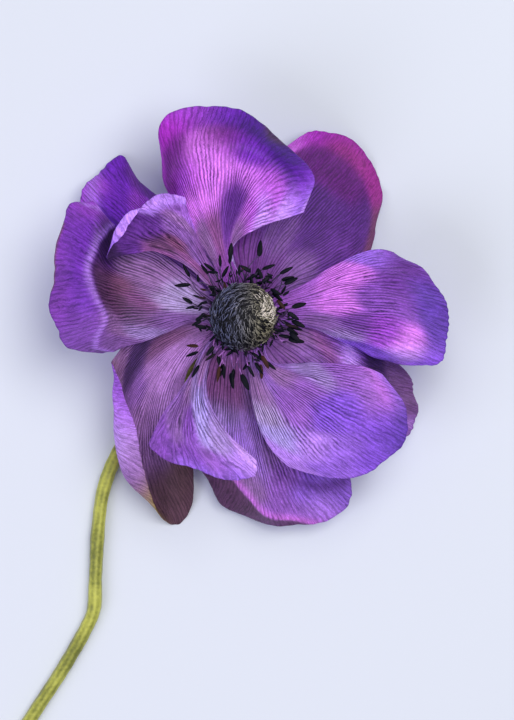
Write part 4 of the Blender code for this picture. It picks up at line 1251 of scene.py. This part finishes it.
# %% Thickness and anthers
def stamen_growth():
    tree, nodes, given, leave = new_growth(
        "stamens", Thickness=0.13, Anther_Length=1.45, Anther_Width=0.50, Seed=8,
        Filament=FILAMENT_FINISH, Anther=ANTHER_FINISH)
    marked = nodes.add("GeometryNodeStoreNamedAttribute", Geometry=given["Geometry"], Name="size",
                       Value=nodes.add("GeometryNodeInputRadius"))
    marked = nodes.add("GeometryNodeStoreNamedAttribute", Geometry=marked, Name="heading",
                       Value=nodes.add("GeometryNodeInputCurveTilt"))
    along = nodes.add("GeometryNodeSplineParameter")
    taper = nodes.math("SUBTRACT", 1.3, nodes.times(along, 0.5))
    tube = nodes.add("GeometryNodeSetCurveRadius", Curve=marked, Radius=taper)
    tube = nodes.add("GeometryNodeSetCurveTilt", Curve=tube, Tilt=0.0)
    circle = nodes.add("GeometryNodeCurvePrimitiveCircle", Resolution=8,
                       Radius=nodes.times(given["Thickness"], MM))
    threads = nodes.add("GeometryNodeCurveToMesh", Curve=tube, Profile_Curve=circle, Fill_Caps=True)
    threads = nodes.add("GeometryNodeSetMaterial", Geometry=threads, Material=given["Filament"])

    ball = nodes.add("GeometryNodeMeshUVSphere", Segments=16, Rings=12, Radius=1.0)
    spot = nodes.add("GeometryNodeInputPosition")
    axes = nodes.add("ShaderNodeSeparateXYZ", Vector=spot).node.outputs
    groove = nodes.step(nodes.math("ABSOLUTE", axes[0]), 0.0, 0.35, 0.62, 1.0)
    taper = nodes.math("SUBTRACT", 1.0, nodes.times(axes[2], 0.22))
    width = nodes.times(given["Anther Width"], MM, taper)
    shaped = nodes.vector(nodes.times(axes[0], width), nodes.times(axes[1], groove, width, 0.72),
                          nodes.times(nodes.total(axes[2], 0.85), given["Anther Length"], MM))
    anther = nodes.add("GeometryNodeSetPosition", Geometry=ball, Position=shaped)
    anther = nodes.add("GeometryNodeSetMaterial", Geometry=anther, Material=given["Anther"])

    def dice(low, high, offset):
        return nodes.add("FunctionNodeRandomValue", 1, {"data_type": "FLOAT"}, _2=low, _3=high,
                         Seed=nodes.total(given["Seed"], offset))

    tips = nodes.add("GeometryNodeCurveEndpointSelection", Start_Size=0, End_Size=1)
    level = nodes.vector(0.0, dice(1.25, 1.75, 1), read_attribute(nodes, "heading"))
    pose = nodes.add("FunctionNodeRotateRotation", 0, {"rotation_space": "LOCAL"},
                     _0=nodes.add("FunctionNodeEulerToRotation", _0=level),
                     _1=nodes.add("FunctionNodeEulerToRotation", _0=nodes.vector(z=dice(-1.6, 1.6, 2))))
    anthers = nodes.add("GeometryNodeInstanceOnPoints", Points=marked, Selection=tips, Instance=anther,
                        Rotation=pose, Scale=read_attribute(nodes, "size"))
    anthers = nodes.add("GeometryNodeStoreNamedAttribute", 0, {"domain": "INSTANCE"}, Geometry=anthers,
                        Name="tone", Value=dice(0.0, 1.0, 3))
    joined = nodes.add("GeometryNodeJoinGeometry", _0=[threads, anthers])
    nodes.feed(leave, nodes.add("GeometryNodeRealizeInstances", Geometry=joined))
    return tree


stamens = grown(stamen_threads(), stamen_growth(), "stamens")
finished(stamens, "stamen", *[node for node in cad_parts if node.startswith("stamen_")])

# %% [markdown]
# ## Stem and receptacle
# The stem is a soft, finely ribbed green tube, pressed and bent where the flower head lies over it,
# with short hairs that show at its edge. Its route is the frame's, repeated here with a sharper
# kink, and its outline swells and narrows a little on the way. The receptacle is the same tissue,
# widening under the tepals.

# %% Stem finish
def stem_finish():
    material, nodes, shader = new_material("stem")
    place = nodes.add("ShaderNodeTexCoord", 3)
    patches = nodes.noise(place, 130.0, 3.0, 0.6)
    fine = nodes.noise(place, 1400.0, 2.0)
    rib = nodes.add("ShaderNodeAttribute", 2, {"attribute_name": "rib"})
    tone = nodes.total(nodes.times(patches, 0.9), nodes.times(fine, 0.35), nodes.times(rib, 0.08), -0.20)
    color = nodes.blend(nodes.step(tone, 0.15, 0.75), (*linear("#636A1E"), 1), (*linear("#C0C454"), 1))
    nodes.feed(shader.inputs["Base Color"], color)
    nodes.feed(shader.inputs["Roughness"], nodes.step(fine, 0.3, 0.7, 0.4, 0.6))
    bump = nodes.add("ShaderNodeBump", Strength=0.4, Distance=0.0001, Height=fine)
    nodes.feed(shader.inputs["Normal"], bump)
    shader.inputs["Sheen Weight"].default_value = 0.2
    return material


STEM_FINISH = stem_finish()
print("stem finish ready")

# %% Stem shape
STEM_RADIUS = 1.5
STEM_ROUTE = (
    (0.0, 0.0, -5.5), (-0.6, -0.6, -8.3), (-5.0, -4.6, -11.6), (-12.0, -11.5, -12.6),
    (-20.0, -20.0, -12.85), (-26.8, -29.0, -12.85), (-29.8, -36.5, -12.85),
    (-31.0, -45.0, -12.85), (-31.6, -55.5, -12.85), (-32.0, -62.6, -12.85), (-33.6, -66.4, -12.85),
    (-38.5, -75.0, -12.85), (-45.0, -85.0, -12.85), (-55.0, -101.0, -12.85), (-67.0, -119.0, -12.85),
)
STEM_CELLS = 420
STEM_SIDES = 48
STEM_RIBS = 7
STEM_SEED = 21
RIB_SEED = 5
RIB_WANDER = 1.5
RIB_HEIGHT = 0.025
SWELL_ROOM = 0.97


def stem_shape():
    """Points, faces and rib heights of the stem, with rounded and closed ends."""
    chance = random.Random(STEM_SEED)
    middle = smooth(STEM_ROUTE, np.linspace(0, 1, STEM_CELLS + 1))
    way = np.gradient(middle, axis=0)
    way /= np.linalg.norm(way, axis=1, keepdims=True)
    side = np.cross(way, (0.0, 0.0, 1.0))
    side[0] = side[4]
    side /= np.maximum(np.linalg.norm(side, axis=1, keepdims=True), 1e-6)
    above = np.cross(side, way)
    place = np.linspace(0, 1, STEM_CELLS + 1)
    swell = 1 + 0.035 * waves(place, chance, 3, 14) + 0.02 * waves(place, chance, 20, 45)
    points = []
    ribs = []
    for k in range(STEM_SIDES):
        angle = math.tau * k / STEM_SIDES
        rib = np.cos(STEM_RIBS * angle + RIB_WANDER * waves(place, random.Random(RIB_SEED), 1, 3))
        radius = STEM_RADIUS * SWELL_ROOM * swell * (1 + RIB_HEIGHT * rib)
        ring = middle + radius[:, None] * (math.cos(angle) * side + math.sin(angle) * above)
        points.append(ring)
        ribs.append(rib)
    points = np.array(points).swapaxes(0, 1)
    ribs = np.array(ribs).swapaxes(0, 1)
    corner = np.arange(STEM_CELLS)[:, None] * STEM_SIDES + np.arange(STEM_SIDES)
    beside = np.arange(STEM_CELLS)[:, None] * STEM_SIDES + (np.arange(STEM_SIDES) + 1) % STEM_SIDES
    faces = np.stack((corner, beside, beside + STEM_SIDES, corner + STEM_SIDES), axis=2).reshape(-1, 4)
    faces = faces.tolist()
    last = STEM_CELLS * STEM_SIDES
    faces.append(list(range(STEM_SIDES))[::-1])
    faces.append(list(range(last, last + STEM_SIDES)))
    return points.reshape(-1, 3), faces, ribs


print("stem cells:", STEM_CELLS, "along,", STEM_SIDES, "round")


# %% Stem hairs
def hair_growth():
    tree, nodes, given, leave = new_growth(
        "hairs", Density=1.1, Length=0.45, Thickness=0.025, Seed=4, Material=STEM_FINISH)
    scattered = nodes.add("GeometryNodeDistributePointsOnFaces", Mesh=given["Geometry"],
                          Density=nodes.times(given["Density"], 1e6), Seed=given["Seed"]).node
    root = nodes.times(given["Thickness"], MM)
    cone = nodes.add("GeometryNodeMeshCone", Vertices=4, Radius_Top=nodes.times(root, 0.3),
                     Radius_Bottom=root, Depth=nodes.times(given["Length"], MM))
    slant = nodes.add("FunctionNodeRandomValue", 1, {"data_type": "FLOAT"}, _2=-0.8, _3=0.8, Seed=1)
    turned_by = nodes.add("FunctionNodeEulerToRotation", _0=nodes.vector(slant, 0.0, 0.0))
    pose = nodes.add("FunctionNodeRotateRotation", 0, {"rotation_space": "LOCAL"},
                     _0=scattered.outputs["Rotation"], _1=turned_by)
    hairs = nodes.add("GeometryNodeInstanceOnPoints", Points=scattered.outputs["Points"],
                      Instance=cone, Rotation=pose)
    joined = nodes.add("GeometryNodeJoinGeometry", _0=[hairs, given["Geometry"]])
    finish_growth(nodes, joined, given["Material"], leave)
    return tree


# %% The stem, grown
stem_points, stem_faces, stem_ribs = stem_shape()
stem_source = mesh_object("stem_source", stem_points, stem_faces)
store(stem_source.data, "rib", "FLOAT", stem_ribs)
stem = grown(stem_source, hair_growth(), "green_stem")
finished(stem, "stem", "stem")

# %% Receptacle
RECEPTACLE_PROFILE = ((1.7, RECEPTACLE_LOW), (2.1, -4.6), (3.4, -3.4), (4.25, -2.6), (4.3, -0.5),
                      (4.3, 1.9), (3.7, 2.7))
RECEPTACLE_RINGS = 40
receptacle_rings = smooth(RECEPTACLE_PROFILE, np.linspace(0, 1, RECEPTACLE_RINGS))
receptacle = mesh_object("flower_base", *turned(receptacle_rings, TURN_SEGMENTS))
receptacle.data.materials.append(STEM_FINISH)
receptacle.data.shade_smooth()
finished(receptacle, "receptacle", "receptacle")
